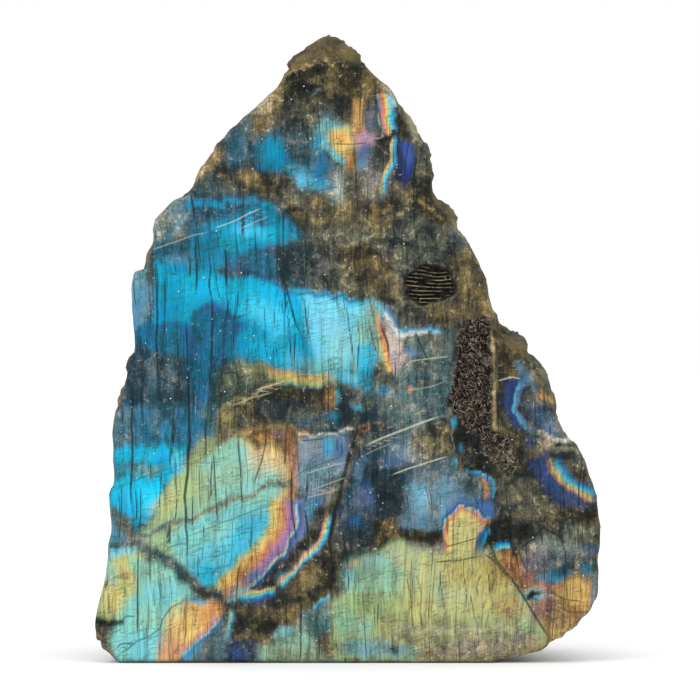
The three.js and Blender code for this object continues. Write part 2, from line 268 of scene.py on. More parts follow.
stone = bmesh.new()
stone.from_mesh(skin_mesh)
stone.normal_update()
cut_squares(stone, face_points(stone), CUTS_ACROSS_GRAIN, CUTS_ALONG_GRAIN)
print("points after the face was cut finer:", len(stone.verts))


# %% Four times as fine along the grain in the hollows
points = points_of(stone)
deep = np.maximum(in_sawn_hollow(points[:, 0], points[:, 2]), in_rough_hollow(points[:, 0], points[:, 2]))
cut_squares(stone, face_points(stone) & (deep > -0.7), 0, 3)
print("points after the hollows were cut finer:", len(stone.verts))

# %% [markdown]
# ## Relief
#
# The polished face is pressed exactly onto its plane. In the sawn hollow the blade left nearly level
# ridges; in the rough one the crystal broke into short needles. A few pits stay open in the polish. The
# broken sides and the back get small steps and grit, cut only inwards so that the stone keeps its size.

# %% Depth of the hollows and pits below the polish
SAW_PITCH = 0.74
PITS = [
    (36.7, 13.2, 1.5, 0.6, 8), (9.4, 110.4, 1.4, 0.5, 30),
    (8.6, 105.6, 1.0, 0.4, -30), (8.5, 2.7, 0.6, 0.3, 0),
]


def sawn_depth(x, z):
    """Depth in the sawn hollow: level ridges that bend and fade."""
    inside = in_sawn_hollow(x, z)
    bend = 0.35 * soft_noise(x, z, 3.5, 34) + 0.16 * (x - SAWN_HOLLOW[0]) / SAWN_HOLLOW_HALF[0]
    ridge = np.abs(np.sin(math.pi * (z + bend) / SAW_PITCH)) ** 5
    uneven = 0.5 + 0.5 * soft_noise(x / 2.2, z, 0.8, 35)
    return ease(0, HOLLOW_SLOPE, inside) * (1 - 0.8 * ridge * ease(0.0, 0.4, uneven))


def rough_depth(x, z):
    """Depth in the rough hollow: short upright needles between holes."""
    inside = in_rough_hollow(x, z)
    needles = soft_noise(x + 0.35 * z, z - 0.2 * x, 0.9, 36) + 0.5 * soft_noise(x * 2.2, z * 0.7, 0.8, 37)
    grit = 0.5 + 0.5 * soft_noise(x, z, 0.45, 38)
    return ease(0, HOLLOW_SLOPE, inside) * (1.15 - 0.85 * np.clip(np.abs(needles) * 1.4, 0, 1) - 0.2 * grit)


def turned(x, z, middle_x, middle_z, degrees):
    """x and z measured from a middle, along axes turned by some degrees."""
    cos, sin = math.cos(math.radians(degrees)), math.sin(math.radians(degrees))
    return (x - middle_x) * cos + (z - middle_z) * sin, (z - middle_z) * cos - (x - middle_x) * sin


def pit_depth(x, z):
    """Depth of the small open pits."""
    depth = np.zeros(x.shape)
    for middle_x, middle_z, half_x, half_z, degrees in PITS:
        u, v = turned(x, z, middle_x, middle_z, degrees)
        depth = np.maximum(depth, 0.5 * (1 - ease(0.4, 1.1, np.hypot(u / half_x, v / half_z))))
    return depth


points = points_of(stone)
x, z = points[:, 0], points[:, 2]
on_face = face_points(stone)
relief = np.maximum(np.maximum(sawn_depth(x, z), rough_depth(x, z)), pit_depth(x, z))
face_y = FACE_FOOT_Y + FACE_SLOPE * z + relief
points[:, 1] = np.where(on_face, face_y, points[:, 1])
print("deepest relief on the face, mm:", round(float(relief[on_face].max()), 2))

# %% Grit and small steps on the broken sides and back
STEP_HEIGHT = 0.8
GRIT_DEPTH = 0.2
FACETS = ((8.0, 0.32), (3.4, 0.38))
WHOLE_RIM = 0.6
FULL_GRIT = 4.0
LEAN_SEED = 1
noise.seed_set(LEAN_SEED)


def facet_depth(place, size, tilt):
    """Depth of blocky facets that each lean their own way."""
    place = Vector((place.x, place.y, 0.7 * place.z)) / size
    centre = noise.voronoi(place, distance_metric="CHEBYCHEV")[1][0]
    return tilt * size * (place - centre).dot(noise.noise_vector(7.3 * centre))


def broken_depth(place):
    """How far a point of the broken surface is moved inwards, in millimetres."""
    bend = 1.6 * noise.noise(place * 0.16) + 0.4 * noise.noise(place * 0.5)
    climb = (place.z * 0.8 + place.x * 0.5 + place.y * 0.35) / 4.2 + bend
    step = climb - math.floor(climb)
    chips = abs(noise.noise(place * 0.42)) + 0.5 * abs(noise.noise(place * 0.95))
    facets = sum(facet_depth(place, size, tilt) for size, tilt in FACETS)
    return max(0.0, STEP_HEIGHT * (0.6 + step ** 3) + facets - GRIT_DEPTH * chips)


chipped = np.zeros(len(points))
for spot in np.nonzero(~on_face)[0]:
    chipped[spot] = broken_depth(Vector(points[spot]))
fade = ease(WHOLE_RIM, FULL_GRIT, behind_face(points)) * ease(0.2, 1.5, points[:, 2])
outwards = np.array([vertex.normal for vertex in stone.verts])
points -= outwards * (chipped * fade)[:, None]
for vertex, place in zip(stone.verts, points):
    vertex.co = Vector(place) * MM
stone.normal_update()
stone.verts.index_update()
print("points on the polished face:", int(on_face.sum()), "of", len(points))

# %% [markdown]
# ## Numbers for the colour
#
# Each stroke is a mix of five numbers. `flash` is a place in the flash's row of colours, from indigo
# through cyan and gold to lilac. `glow` is how strong the flash is there. `tone` and `warm` say how light
# and how brown the plain stone is, and `haze` how milky; a mix of four numbers has no haze. The mesh keeps
# the flash as the colour itself, so that two patches blend straight into each other, and a fringe is drawn
# only where the crystal has one.

# %% The flash's row of colours
FLASH_COLOURS = [
    (0.00, (44, 50, 98)),
    (0.08, (34, 76, 148)),
    (0.17, (8, 106, 146)),
    (0.26, (2, 158, 190)),
    (0.31, (16, 184, 222)),
    (0.37, (92, 194, 216)),
    (0.46, (118, 190, 174)),
    (0.55, (134, 168, 122)),
    (0.64, (176, 180, 112)),
    (0.73, (220, 182, 98)),
    (0.82, (198, 128, 70)),
    (0.90, (188, 120, 128)),
    (1.00, (126, 112, 170)),
]


def linear(red, green, blue):
    """A colour of 0 to 255 as the renderer's linear values."""
    shares = [part / 255 for part in (red, green, blue)]
    return [s / 12.92 if s <= 0.04045 else ((s + 0.055) / 1.055) ** 2.4 for s in shares] + [1]


def flash_colour(order):
    """The flash's colour at a place in its row, for one place or many."""
    places = [place for place, _ in FLASH_COLOURS]
    colours = np.array([linear(*colour)[:3] for _, colour in FLASH_COLOURS])
    return np.stack([np.interp(order, places, colours[:, part]) for part in range(3)], -1)


indigo = [round(float(part), 3) for part in flash_colour(0)]
print("flash colours:", len(FLASH_COLOURS), "from indigo", indigo)

# %% A palette of plain names
MIXES = {
    "black": (None, 0, 0.0, 0.5),
    "coal": (None, 0, 0.07, 0.5),
    "slate": (None, 0, 0.34, 0.15),
    "pale slate": (None, 0, 0.58, 0.15),
    "grey green": (None, 0, 0.50, 0.45),
    "dark green": (None, 0, 0.30, 0.5),
    "pale grey": (None, 0, 0.70, 0.45),
    "olive": (None, 0, 0.45, 0.9),
    "brown": (None, 0, 0.30, 1),
    "dark brown": (None, 0, 0.16, 0.95),
    "tan": (None, 0, 0.62, 1),
    "straw": (None, 0, 0.82, 0.9),
    "white": (None, 0, 0.98, 0.6, 0.9),
    "indigo": (0.03, 0.85, None, None),
    "orange": (0.82, 1, None, None),
    "gold": (0.73, 1, None, None),
}
NUMBERS = ("flash", "glow", "tone", "warm", "haze")
print("named mixes:", len(MIXES))

# %% The brushes
EDGE_WANDER = ((4.0, 0.55), (1.3, 0.22))
GRAIN_PULL = ((0.6, 12, 0.25), (1.6, 18, 0.45))
wander_x = sum(amount * soft_noise(x, z, size, 1 + seed) for seed, (size, amount) in enumerate(EDGE_WANDER))
wander_z = sum(amount * soft_noise(x, z, size, 3 + seed) for seed, (size, amount) in enumerate(EDGE_WANDER))
for seed, (width, length, amount) in enumerate(GRAIN_PULL):
    wander_z += amount * soft_noise(x / width, z / length, 1, 5 + seed)
brush_x, brush_z = x + wander_x, z + wander_z
coat = {"glow": 0.0, "tone": 0.38, "warm": 0.5, "haze": 0.0}
coat = {name: np.full(x.shape, value) for name, value in coat.items()}
coat["flash"] = np.zeros((len(x), 3)) + flash_colour(0.3)


def path(text):
    """The points of a line or outline written as "x,z x,z", in millimetres."""
    return [tuple(float(part) for part in pair.split(",")) for pair in text.split()]


def near(points, margin):
    """The numbers of the mesh's points that lie within a margin of some drawn points."""
    low, high = np.min(points, axis=0) - margin, np.max(points, axis=0) + margin
    close = (brush_x > low[0]) & (brush_x < high[0]) & (brush_z > low[1]) & (brush_z < high[1])
    return np.nonzero(close)[0]


def lay(close, cover, mix, order=None):
    """Lays a mix over the coat at some points. A colour counts more where the flash below is faint."""
    values = dict(zip(NUMBERS, (*(MIXES[mix] if isinstance(mix, str) else mix), 0)))
    order = values.pop("flash") if order is None else order
    if order is not None:
        over = cover * values["glow"]
        share = over / np.maximum(over + (1 - cover) * coat["glow"][close], 1e-6)
        coat["flash"][close] += share[:, None] * (flash_colour(order) - coat["flash"][close])
    for name in NUMBERS[1:]:
        if values[name] is not None:
            coat[name][close] += cover * (values[name] - coat[name][close])


def area(mix, strength, soft, outline):
    """Fills an outline whose edge is soft by some millimetres."""
    outline = path(outline)
    close = near(outline, soft + 1)
    inside = inside_by(brush_x[close], brush_z[close], outline)
    lay(close, strength * ease(-soft, soft, inside), mix)


def patch(mix, strength, soft, middle, half, degrees=0):
    """Lays an oval patch. Its edge is soft by a share of its size."""
    close = near([middle], 2 * max(half) + 1)
    u, v = turned(brush_x[close], brush_z[close], *middle, degrees)
    lay(close, strength * (1 - ease(1 - soft, 1 + soft, np.hypot(u / half[0], v / half[1]))), mix)


def streak(mix, strength, width, soft, points):
    """Draws a line of some width. Its edge is soft by a share of the width."""
    points = path(points)
    close = near(points, 2 * width + 1)
    distance, _, _ = to_line(brush_x[close], brush_z[close], points)
    lay(close, strength * (1 - ease(width / 2 * (1 - soft), width / 2 * (1 + soft), distance)), mix)


def fringe(orders, glow, width, points, strength=1, haze=0, ends=0.12):
    """Draws a rainbow line: the orders follow each other across its width, from right to left of its run."""
    points = path(points)
    close = near(points, width + 1)
    distance, share, side = to_line(brush_x[close], brush_z[close], points)
    across = np.clip(distance * side / width, -0.5, 0.5) + 0.5
    order = np.interp(across, np.linspace(0, 1, len(orders)), orders)
    cover = strength * (1 - ease(0.3, 0.55, distance / width))
    cover *= ease(0, ends + 1e-6, share + 1e-3) * ease(0, ends + 1e-6, 1 - share + 1e-3)
    lay(close, cover, (None, glow, None, None, haze), order)


print("brushes: area, patch, streak, fringe")

# %% [markdown]
# ### The top and the shoulders
# The tip is dull: olive crust, dark bands and a brown belt below. Only a few patches of it will
# flash, and they come last.

# %% Paint: the top and the shoulders
area("brown", 0.9, 2, "-16,112 -12,122 -4,128 6,124 8,116 2,111 -8,111")
patch((None, 0, 0.7, 1), 0.6, 0.7, (-13, 117.8), (0.9, 1.4))
streak("straw", 0.7, 0.45, 0.7, "-13.8,116.4 -11.4,117.8 -9.4,118.7 -7.4,119.6 -5,120.1 -3.8,119.3")
streak("dark brown", 0.7, 0.7, 0.8, "-12.6,116.4 -9.4,118.1 -6.6,118.9 -3.6,118.4")
area((None, 0, 0.2, 0.75), 0.85, 1.4, "-13,113.6 -11.6,116.4 -8,118.6 -3.6,118 -1,116.6 -2,112 -10,111.6")
patch((None, 0, 0.5, 0.9), 0.6, 0.7, (-6.4, 117.4), (2.4, 0.7), 10)
patch("coal", 0.9, 0.6, (-8.6, 115), (2.6, 1.1), 5)
patch("coal", 0.7, 0.6, (-5.6, 113.6), (1.4, 0.9))
patch((0.2, 0.15, 0.46, 0.2), 0.7, 0.6, (-6.2, 114.6), (1.6, 0.6), 10)
patch("olive", 0.8, 0.8, (-2.6, 115.6), (2, 2.4))
patch((None, 0, 0.38, 1), 0.7, 0.8, (2.6, 116.4), (3, 2.6))
patch("coal", 0.7, 0.7, (2.2, 118.4), (1.4, 1.2))
area((None, 0, 0.4, 0.5), 0.9, 1.6, "-16,106.6 -15,112 -12,113.4 -6,112.6 -1.6,111 -1,107 -5,105.4 -12,105.6")
patch((None, 0, 0.22, 0.5), 0.8, 0.7, (-1.6, 111.4), (1.6, 2))
patch((None, 0, 0.54, 0.5), 0.6, 0.8, (-10.4, 109.6), (3.4, 1))
patch((None, 0, 0.26, 0.5), 0.7, 0.8, (-7.4, 107.4), (3.4, 0.8))
patch((0.25, 0.15, 0.44, 0.3), 0.6, 0.8, (-4.4, 109), (2, 1.2))
area((None, 0, 0.6, 0.95), 0.9, 1.2,
    "-22,106.5 -20.5,111 -14.5,115.5 -12.6,112.5 -14,108.5 -16,106.4 -19,106")
patch((None, 0, 0.78, 0.7), 0.8, 0.7, (-18.6, 110.6), (2.6, 1.4), 35)
streak((None, 0, 0.9, 0.75, 0.2), 0.8, 1, 0.8, "-21,109.5 -18,112 -14.8,115")
patch("olive", 0.7, 0.7, (-16.5, 108), (3, 1.2))
patch("tan", 0.6, 0.7, (-13.6, 114.6), (1.2, 1.6), -35)
area((0.2, 0.2, 0.52, 0.2), 0.9, 1, "-27,99.3 -26,103.6 -24.5,106.5 -20.5,110.5 -19.6,107 -20.4,99.6")
patch("brown", 0.6, 0.7, (-25.8, 101.5), (1, 3.5))
area("tan", 0.8, 0.8, "-31,94.8 -30.5,99 -26,105 -25.3,102 -26.5,98.5 -28.5,96")
patch("straw", 0.5, 0.8, (-29.5, 98), (1, 2), -30)
area((0.2, 0.15, 0.44, 0.3), 0.85, 1.4,
    "-32,91 -32,94.5 -28,97.5 -23,97.8 -17,93.5 -14.5,90 -24,88.5 -31,88.5")
area((None, 0, 0.3, 0.85), 0.85, 1.1, "-26.5,99.2 -20,99.8 -13,98.5 -11.5,95 -15,93 -21,93.5 -26,95.8")
area("tan", 0.75, 0.9, "-22.8,98.4 -19.4,99 -17.4,96.6 -16.8,94 -19.4,94 -21,96")
area((None, 0, 0.45, 0.75), 0.85, 1.5,
    "-17,93.5 -8,96 0,93 9,94.5 16,97 23,88 17,85 8,87.5 0,86 -9,86.3 -15,89")
area("grey green", 0.8, 1, "-16,93.5 -9,94.6 -8,91 -14,90.6")
area((0.3, 0.1, 0.74, 0.4, 0.08), 0.9, 1.3, "-5.5,99.5 0.2,101 0.6,94 0,91.6 -3.5,92 -6,95")
patch("grey green", 0.6, 0.7, (-3.5, 98.5), (2, 2))
patch("olive", 0.8, 0.6, (-6.8, 92.2), (2.4, 1.2), -8)
patch("dark brown", 0.8, 0.6, (-12, 88.8), (2.6, 1.6), 20)
patch("tan", 0.6, 0.6, (-10.2, 89), (1.2, 0.9))
patch("tan", 0.8, 0.5, (-6.3, 88.2), (2, 0.45), -4)
patch("tan", 0.5, 0.7, (-1.5, 88.7), (1.8, 0.6))
patch("brown", 0.5, 0.7, (-2, 90), (2.4, 1))
area((None, 0, 0.4, 0.4), 0.85, 1.1, "-13,85.5 -10,87.6 -3,87.2 3,86.5 5,84.5 0,81.5 -7,82.2 -12.5,83.5")
patch("pale slate", 0.6, 0.6, (3, 84.5), (1, 0.8), -40)
patch("pale slate", 0.4, 0.6, (-1.5, 86.2), (1.6, 0.6))
patch("olive", 0.8, 0.7, (6.3, 87), (2, 3.2), 15)
patch("dark brown", 0.7, 0.7, (4.5, 91.3), (3, 1.6))
patch("dark brown", 0.7, 0.7, (8.5, 92.5), (2, 1))
patch("dark brown", 0.8, 0.6, (2.5, 82), (3, 1.6))
patch("tan", 0.8, 0.5, (11.4, 92.3), (1.4, 0.7), -25)
patch("straw", 0.7, 0.5, (10.4, 89.5), (0.4, 0.9), -10)
area("dark brown", 0.75, 0.9, "13.5,94.5 17,96 20,91 20.5,87.5 16,86.5 13,90.5")
streak("tan", 0.7, 0.8, 0.7, "14.3,92.5 16,91 18.6,88.4")
area((None, 0, 0.36, 0.3), 0.95, 1.2,
    "8.5,88.5 12,89.8 17,88 20.5,86 22,82 20,79.5 14,79.2 8.5,78.5 5.5,82 6.8,85")
area("pale slate", 0.6, 0.7, "18.8,86.8 21.3,87.4 26,81.5 25,79 22,82.5")
area((None, 0, 0.39, 0.9), 0.95, 1,
    "20.3,81.5 24,83 27.6,77 28.6,70 27,68.6 22.5,67.7 18,66.6 14.5,67.3 13,71 16,71 20.5,72 21.6,76.5 "
    "20,79")
patch("tan", 0.35, 0.8, (24, 77), (2, 4), 10)
patch("tan", 0.4, 0.8, (22, 69.5), (3, 1.2))
area("brown", 0.8, 1.2, "-2,83 4,82 8.5,79 12,78 13,72 8,70.4 4.5,73.5 2,76 -2,79")
patch("olive", 0.6, 0.8, (5, 77), (3, 3))
area((None, 0, 0.42, 0.45), 0.85, 1,
    "9.3,80.5 12.5,79 11,75 12.5,72 15,71 17,67 16,66.4 12,67 9.3,70.5 7.8,75")
patch("slate", 0.7, 0.7, (10.5, 78), (1.6, 1.5))
area("slate", 0.8, 0.9, "5.6,72.5 9,73 12,67.2 9.8,66.2 8,70.4 6,71.4")
print("painted:", "the top and the shoulders")

# %% [markdown]
# ### Left of the middle
# A bright cyan band crosses the stone here, with navy glass below it and brown and slate stone on its
# right.

# %% Paint: left of the middle
area((0.24, 0.35, 0.62, 0.35, 0.05), 0.95, 1,
    "-40.3,82.6 -39.8,88 -36.8,92 -33.6,94 -31.6,93.6 -32.4,89 -33.4,85.6 -38,82.4")
patch((None, 0, 0.7, 0.5, 0.05), 0.7, 0.7, (-37.6, 87), (1.6, 3), -10)
patch((0.2, 0.3, 0.4, 0.2), 0.8, 0.7, (-32.4, 90.6), (1.2, 3))
patch((0.21, 0.6, 0.28, 0.2), 0.7, 0.8, (-30, 86.6), (2, 1.6))
area((0.2, 0.35, 0.28, 0.3), 0.95, 0.8, "-40.4,78.9 -40,82.4 -35,83.9 -31.4,85.2 -29.5,82 -31,79 -35,78.4")
patch((0.24, 0.7, 0.5, 0.3), 0.7, 0.8, (-35.6, 79.6), (3.4, 1.2))
area("brown", 0.6, 0.6, "-41.5,79 -41.2,81.5 -39.9,83 -39,80 -38.7,62 -40.2,62.4 -40.4,72")
area((0.22, 0.7, 0.3, 0.3), 1, 1.4,
    "-31.6,85 -29,87.4 -27,88.6 -20,91.2 -15,91.4 -12.6,88.6 -10.6,86.4 -10,84.8 -14,83.4 -20,81.5 "
    "-24,78.7 -31.6,77.4")
area((0.26, 0.85, 0.34, 0.25), 0.85, 1.6,
    "-26.5,83.5 -26.8,86.8 -20,88.5 -13,87.4 -11,85.4 -15,84 -19,83.2 -22,81.5")
patch((0.33, 0.95, 0.5, 0.25, 0.12), 0.8, 0.8, (-20, 86.2), (3.4, 1.4), -8)
patch((0.21, 0.75, 0.3, 0.25), 0.7, 0.8, (-28.2, 82), (2, 3.4))
patch((0.19, 0.6, 0.3, 0.2), 0.7, 0.8, (-23.6, 80.6), (2.4, 1.6), -20)
area((0.17, 0.38, 0.28, 0.25), 0.9, 1, "-31.4,88.6 -27,88.8 -20.6,90.6 -17,91 -17,92.4 -22,93 -31,92.6")
streak((0.21, 0.95, 0.4, 0.2, 0.02), 0.9, 1.5, 0.7, "-32,91.8 -28,91.5 -25.6,91")
streak((0.22, 0.85, 0.4, 0.2, 0.02), 0.85, 1.1, 0.7, "-24.4,92.4 -20,91.9 -16,91.4")
patch((0.14, 0.6, 0.35, 0.2, 0.05), 0.7, 0.7, (-17.4, 88), (2.4, 0.8), -20)
area((0.17, 0.5, 0.3, 0.2), 0.95, 1.1,
    "-25,78 -22,80.6 -18,82.8 -13,83.7 -8.5,82.8 -5.5,80 -5.5,76.4 -9,75 -14,76.2 -19,77.2")
area((None, 0, 0.27, 0.25), 0.85, 1.6, "-15.5,82.5 -10,83.6 -4,81.5 -1.5,79 -2.5,76 -8,75.2 -14,76.6")
patch((0.19, 0.5, 0.35, 0.2), 0.7, 0.8, (-17.6, 79.6), (3, 1.8), -15)
patch("grey green", 0.6, 0.7, (-4.5, 78.7), (3.5, 1.8))
patch((0.95, 0.2, 0.5, 0.5, 0.1), 0.6, 0.7, (-5.4, 79), (1.2, 1.4))
area((0.24, 0.95, 0.26, 0.2), 1, 0.8,
    "-39,79.6 -30,77.8 -20,76.5 -15.6,75.9 -13.2,73.9 -9.4,74.8 -3,73.4 3,72.2 7.4,69.4 5.5,64 "
    "4,57.5 -1,55.8 -9,57.4 -14,58.2 -19,59.6 -23,60 -22,67 -24.5,70.3 -28,71.9 -31.3,70.7 -33,68 "
    "-39,67.3")
area((0.22, 0.95, 0.34, 0.2), 0.7, 1.4, "-39,80 -34,79 -27,78.2 -26,76.4 -31,77 -39,77.4")
area((0.22, 0.9, 0.26, 0.15), 0.8, 1.8, "-39,76 -35,75 -34,72 -33,69 -33.6,67.5 -39,67.5")
area((0.285, 1, 0.26, 0.1), 0.9, 1.6,
    "-33,77 -27,76.6 -15,75.3 -12.6,71 -13,66.5 -17,66.5 -24,70.6 -29,72.8 -33,73")
patch((0.335, 1, 0.36, 0.1, 0.1), 0.8, 0.8, (-17.4, 69.6), (3.6, 2.2), -20)
patch((0.33, 1, 0.4, 0.1, 0.06), 0.8, 0.7, (-13.6, 66.4), (2, 2.4))
patch((0.24, 0.95, 0.26, 0.1), 0.8, 0.8, (-20.6, 64.2), (2.6, 3.6), -10)
patch((0.27, 0.95, 0.26, 0.1), 0.7, 0.8, (-16.4, 62), (2.6, 2.6))
patch((0.23, 1, 0.24, 0.1), 0.5, 0.8, (-10.4, 70), (1.5, 4), 12)
patch((0.23, 1, 0.24, 0.1), 0.7, 0.7, (-12, 64), (1.3, 3))
patch((0.34, 0.75, 0.36, 0.2, 0.08), 0.8, 0.8, (-11.4, 60.4), (2.4, 1.8))
area((0.35, 1, 0.5, 0.1, 0.2), 0.9, 1.3, "-9.4,74 -3,72.8 1.4,71.6 1.4,64 -1,59 -7,60 -8.4,65")
patch((0.35, 1, 0.5, 0.1, 0.36), 0.9, 0.8, (-4, 68.6), (3.4, 3.4))
patch((0.42, 1, 0.5, 0.1, 0.3), 0.8, 0.8, (-2, 63), (3.4, 3.4))
patch((0.46, 0.7, 0.44, 0.3, 0.1), 0.8, 0.9, (-6, 59), (5, 1.6))
patch((0.42, 0.8, 0.5, 0.2, 0.3), 0.8, 0.7, (3.5, 70.2), (2.8, 1.6))
patch((0.5, 0.85, 0.5, 0.3, 0.2), 0.85, 0.7, (2.8, 66), (1.8, 3.2))
patch((0.3, 0.95, 0.5, 0.2, 0.16), 0.9, 0.6, (3.4, 61.4), (1.7, 2.7), -8)
patch((0.24, 0.8, 0.4, 0.2, 0.1), 0.75, 0.7, (2, 56.2), (2.4, 1.4))
patch((0.36, 0.8, 0.5, 0.2, 0.2), 0.8, 0.6, (-0.2, 57), (1.6, 1.2))
patch((0.46, 0.5, 0.66, 0.3, 0.1), 0.7, 0.6, (0.9, 59.6), (0.9, 1.9))
streak((0.16, 0.8, 0.3, 0.2, 0.1), 0.75, 1, 0.7, "-12,73.4 -8.2,73.6 -3,73 1,72.2")
streak((0.13, 0.9, 0.3, 0.1, 0.05), 0.85, 0.8, 0.6, "-19,76.4 -15.6,75.9 -13.4,74.2 -12.6,73.2")
area((0.28, 0.55, 0.6, 0.3, 0.14), 0.8, 1.6, "-44.6,72 -44.6,78.6 -41,80 -40.4,72")
area((0.22, 0.8, 0.55, 0.2, 0.16), 0.8, 1.8, "-44.6,62.5 -44.8,73.5 -40.4,75 -40.3,64")
patch((0.3, 0.4, 0.75, 0.4, 0.15), 0.7, 0.7, (-43.4, 75.6), (0.8, 2.8))
area((0.18, 0.6, 0.18, 0.1), 0.95, 1,
    "-43.9,62.4 -43,66.2 -40.4,67.4 -38.5,67.6 -33,67.8 -32,61 -39,61.5")
patch((0.17, 0.8, 0.3, 0.1), 0.7, 0.7, (-35, 66.6), (3.4, 1.2))
area((0.17, 0.55, 0.16, 0.1), 0.95, 1.2,
    "-33.2,67.4 -31.4,70.6 -28.2,71.9 -24.4,70.6 -21,67.4 -21.8,63 -23,58.8 -28,57.8 -33,58")
patch((0.21, 0.75, 0.2, 0.1), 0.5, 0.8, (-30.6, 69), (2.2, 1.4))
patch((0.14, 0.7, 0.3, 0.1, 0.05), 0.8, 0.7, (-27, 71), (2.6, 0.8), 12)
patch((0.2, 0.6, 0.2, 0.1), 0.5, 0.8, (-26.4, 64), (1.4, 4))
patch((0.21, 0.7, 0.2, 0.1), 0.6, 0.8, (-22.8, 61.6), (1.6, 3))
patch((0.19, 0.6, 0.2, 0.1), 0.5, 0.8, (-34.6, 63), (1.6, 3))
area((0.18, 0.15, 0.24, 0.15), 0.95, 1.4,
    "-46.6,52 -44,61.5 -42.6,62.8 -39,61.6 -34,59.6 -33,50 -39,50 -46,50")
area((0.19, 0.3, 0.24, 0.2), 0.9, 1.4, "-33.6,60 -27,60 -23,60 -22.6,55 -24,52 -28,50 -33.4,50")
patch((0.2, 0.2, 0.5, 0.25), 0.5, 0.8, (-36, 56), (1.2, 6))
patch((0.2, 0.3, 0.5, 0.2), 0.5, 0.8, (-39.8, 56), (1, 5))
patch("slate", 0.6, 0.8, (-34.1, 55), (0.7, 5))
patch((0.17, 0.9, 0.3, 0.1), 0.85, 0.7, (-30.2, 57), (1.3, 3))
patch((0.16, 0.8, 0.3, 0.1), 0.8, 0.6, (-29.6, 52.8), (1.4, 1.8))
area((0.5, 0.1, 0.34, 0.65), 0.9, 1.4,
    "-26.4,59 -22,60.6 -15.5,60 -15,58 -18,56.4 -21,54.6 -24.6,51.6 -27,51 -27.4,55")
patch((0.46, 0.15, 0.5, 0.5), 0.6, 0.8, (-20.4, 57.8), (1, 2.4))
patch((0.62, 0.3, 0.42, 0.9), 0.6, 0.8, (-17.8, 58.8), (2.6, 1))
area((0.3, 0.08, 0.44, 0.35), 0.9, 1.2,
    "9.5,65 13,66.4 20.6,66.2 21,58 20.4,50 14,46.5 10,45 5,46.5 4,52 8,56")
area((0.3, 0.08, 0.43, 0.3), 0.8, 1.4, "10.5,60.4 15,61.4 20.6,61.8 20.8,55 14,52 10,54")
patch((None, 0, 0.42, 0.3), 0.8, 0.7, (14, 59.2), (3, 1.4), 5)
patch("dark green", 0.6, 0.7, (15.5, 56.2), (2.6, 0.9), 8)
patch((None, 0, 0.4, 0.4), 0.7, 0.8, (17, 64), (3, 1.4), -8)
patch((0.14, 0.5, 0.4, 0.1, 0.2), 0.85, 0.5, (12.3, 61.7), (1.9, 0.9), -5)
patch("orange", 0.6, 0.6, (11.7, 54.6), (0.7, 0.7))
area((0.9, 0.35, 0.75, 0.5, 0.45), 0.9, 0.8, "7.4,69.5 9.5,66.8 11,64.6 11.4,61 9,58 7.6,60 7.2,64")
area((0.55, 0.6, 0.6, 0.6, 0.2), 0.8, 0.6, "4,71 6,70 6.6,65 7.2,60 5.6,60 4.4,65")
streak("orange", 0.75, 1.1, 0.8, "6,68.6 6.6,65.6 7.2,62.5 7.9,59")
streak("gold", 0.6, 0.9, 0.8, "7.2,62 7.8,58.6")
fringe([0.5, 0.3, 0.13, 0.05], 0.8, 1.6,
    "5.2,71.4 7.6,70.6 8.8,68.6 10,66 12,65.9 16,66.6 19,66.4", 0.9, 0.25)
streak("white", 0.75, 0.8, 0.7, "7,70 8.6,68.2 10,65.2 12,65.2 15.5,66")
print("painted:", "left of the middle")

# %% [markdown]
# ### The dark knot in the middle
# Where the crystals meet, a dark brown lens has a thin gold rim, the last glow of the cyan band's
# edge.

# %% Paint: the dark knot in the middle
area((None, 0, 0.24, 0.7), 0.95, 1,
    "-21.5,53.6 -17,54.6 -11,55.6 -4,55 -0.5,54.4 4,54.4 6,56.6 8.6,57.2 10,50 9,46.5 2,44.8 -1,46.7 "
    "-6,46.3 -12,47 -18,48.6 -23,50.6")
area((0.2, 0.1, 0.2, 0.4), 0.7, 1.4,
    "-20,51.5 -12,52 -5,51 -1.5,54 3.5,53.4 8,55 9,49 4,47 -2,47.5 -9,47.2 -17,49")
patch((None, 0, 0.4, 0.5), 0.7, 0.8, (-9, 49.4), (5, 1.6), 4)
patch("coal", 0.6, 0.7, (-1, 49.6), (2.4, 2))
patch("coal", 0.6, 0.7, (-14, 53.4), (4, 1), 6)
fringe([0.82, 0.76, 0.68, 0.56, 0.46], 0.7, 3,
    "-1,55.8 -4,56.3 -9,56.9 -12.5,57.1 -15,57.7 -18,59", 0.8, 0.03, 0.3)
streak((0.7, 0.8, 0.5, 0.9), 0.5, 1.6, 1, "-6,56.6 -10,57.2 -13,57.2 -15.4,57.8")
patch((0.8, 0.5, 0.3, 0.9), 0.6, 0.9, (-4.2, 52.8), (1.1, 1.8))
fringe([0.75, 0.55, 0.3, 0.2], 0.6, 1.8, "-3.8,55 -2.4,53.4 -3,51", 0.7, 0, 0.3)
patch((0.22, 0.8, 0.3, 0.2), 0.7, 0.7, (-3.6, 49.4), (1.4, 1))
patch((0.3, 0.15, 0.62, 0.35, 0.03), 0.8, 0.9, (6, 53.8), (3.6, 2))
patch((0.19, 0.9, 0.3, 0.2, 0.1), 0.8, 0.6, (6.6, 54.6), (0.9, 0.8))
patch((0.22, 0.9, 0.3, 0.2, 0.1), 0.8, 0.6, (3.4, 54.8), (0.7, 0.8))
patch("grey green", 0.6, 0.7, (3.4, 51.6), (2.2, 1.5))
patch((0.3, 0.6, 0.5, 0.2, 0.1), 0.6, 0.6, (1.6, 51), (1.1, 0.7))
streak((0.68, 0.35, 0.6, 0.8, 0.05), 0.85, 0.7, 0.8, "-13,56.3 -16.6,54.9 -21,53.4 -25,51.4 -28,48.6")
streak((0.64, 0.15, 0.55, 0.7, 0.05), 0.7, 0.5, 0.7, "-17.4,53 -21,52.5 -26,50.4")
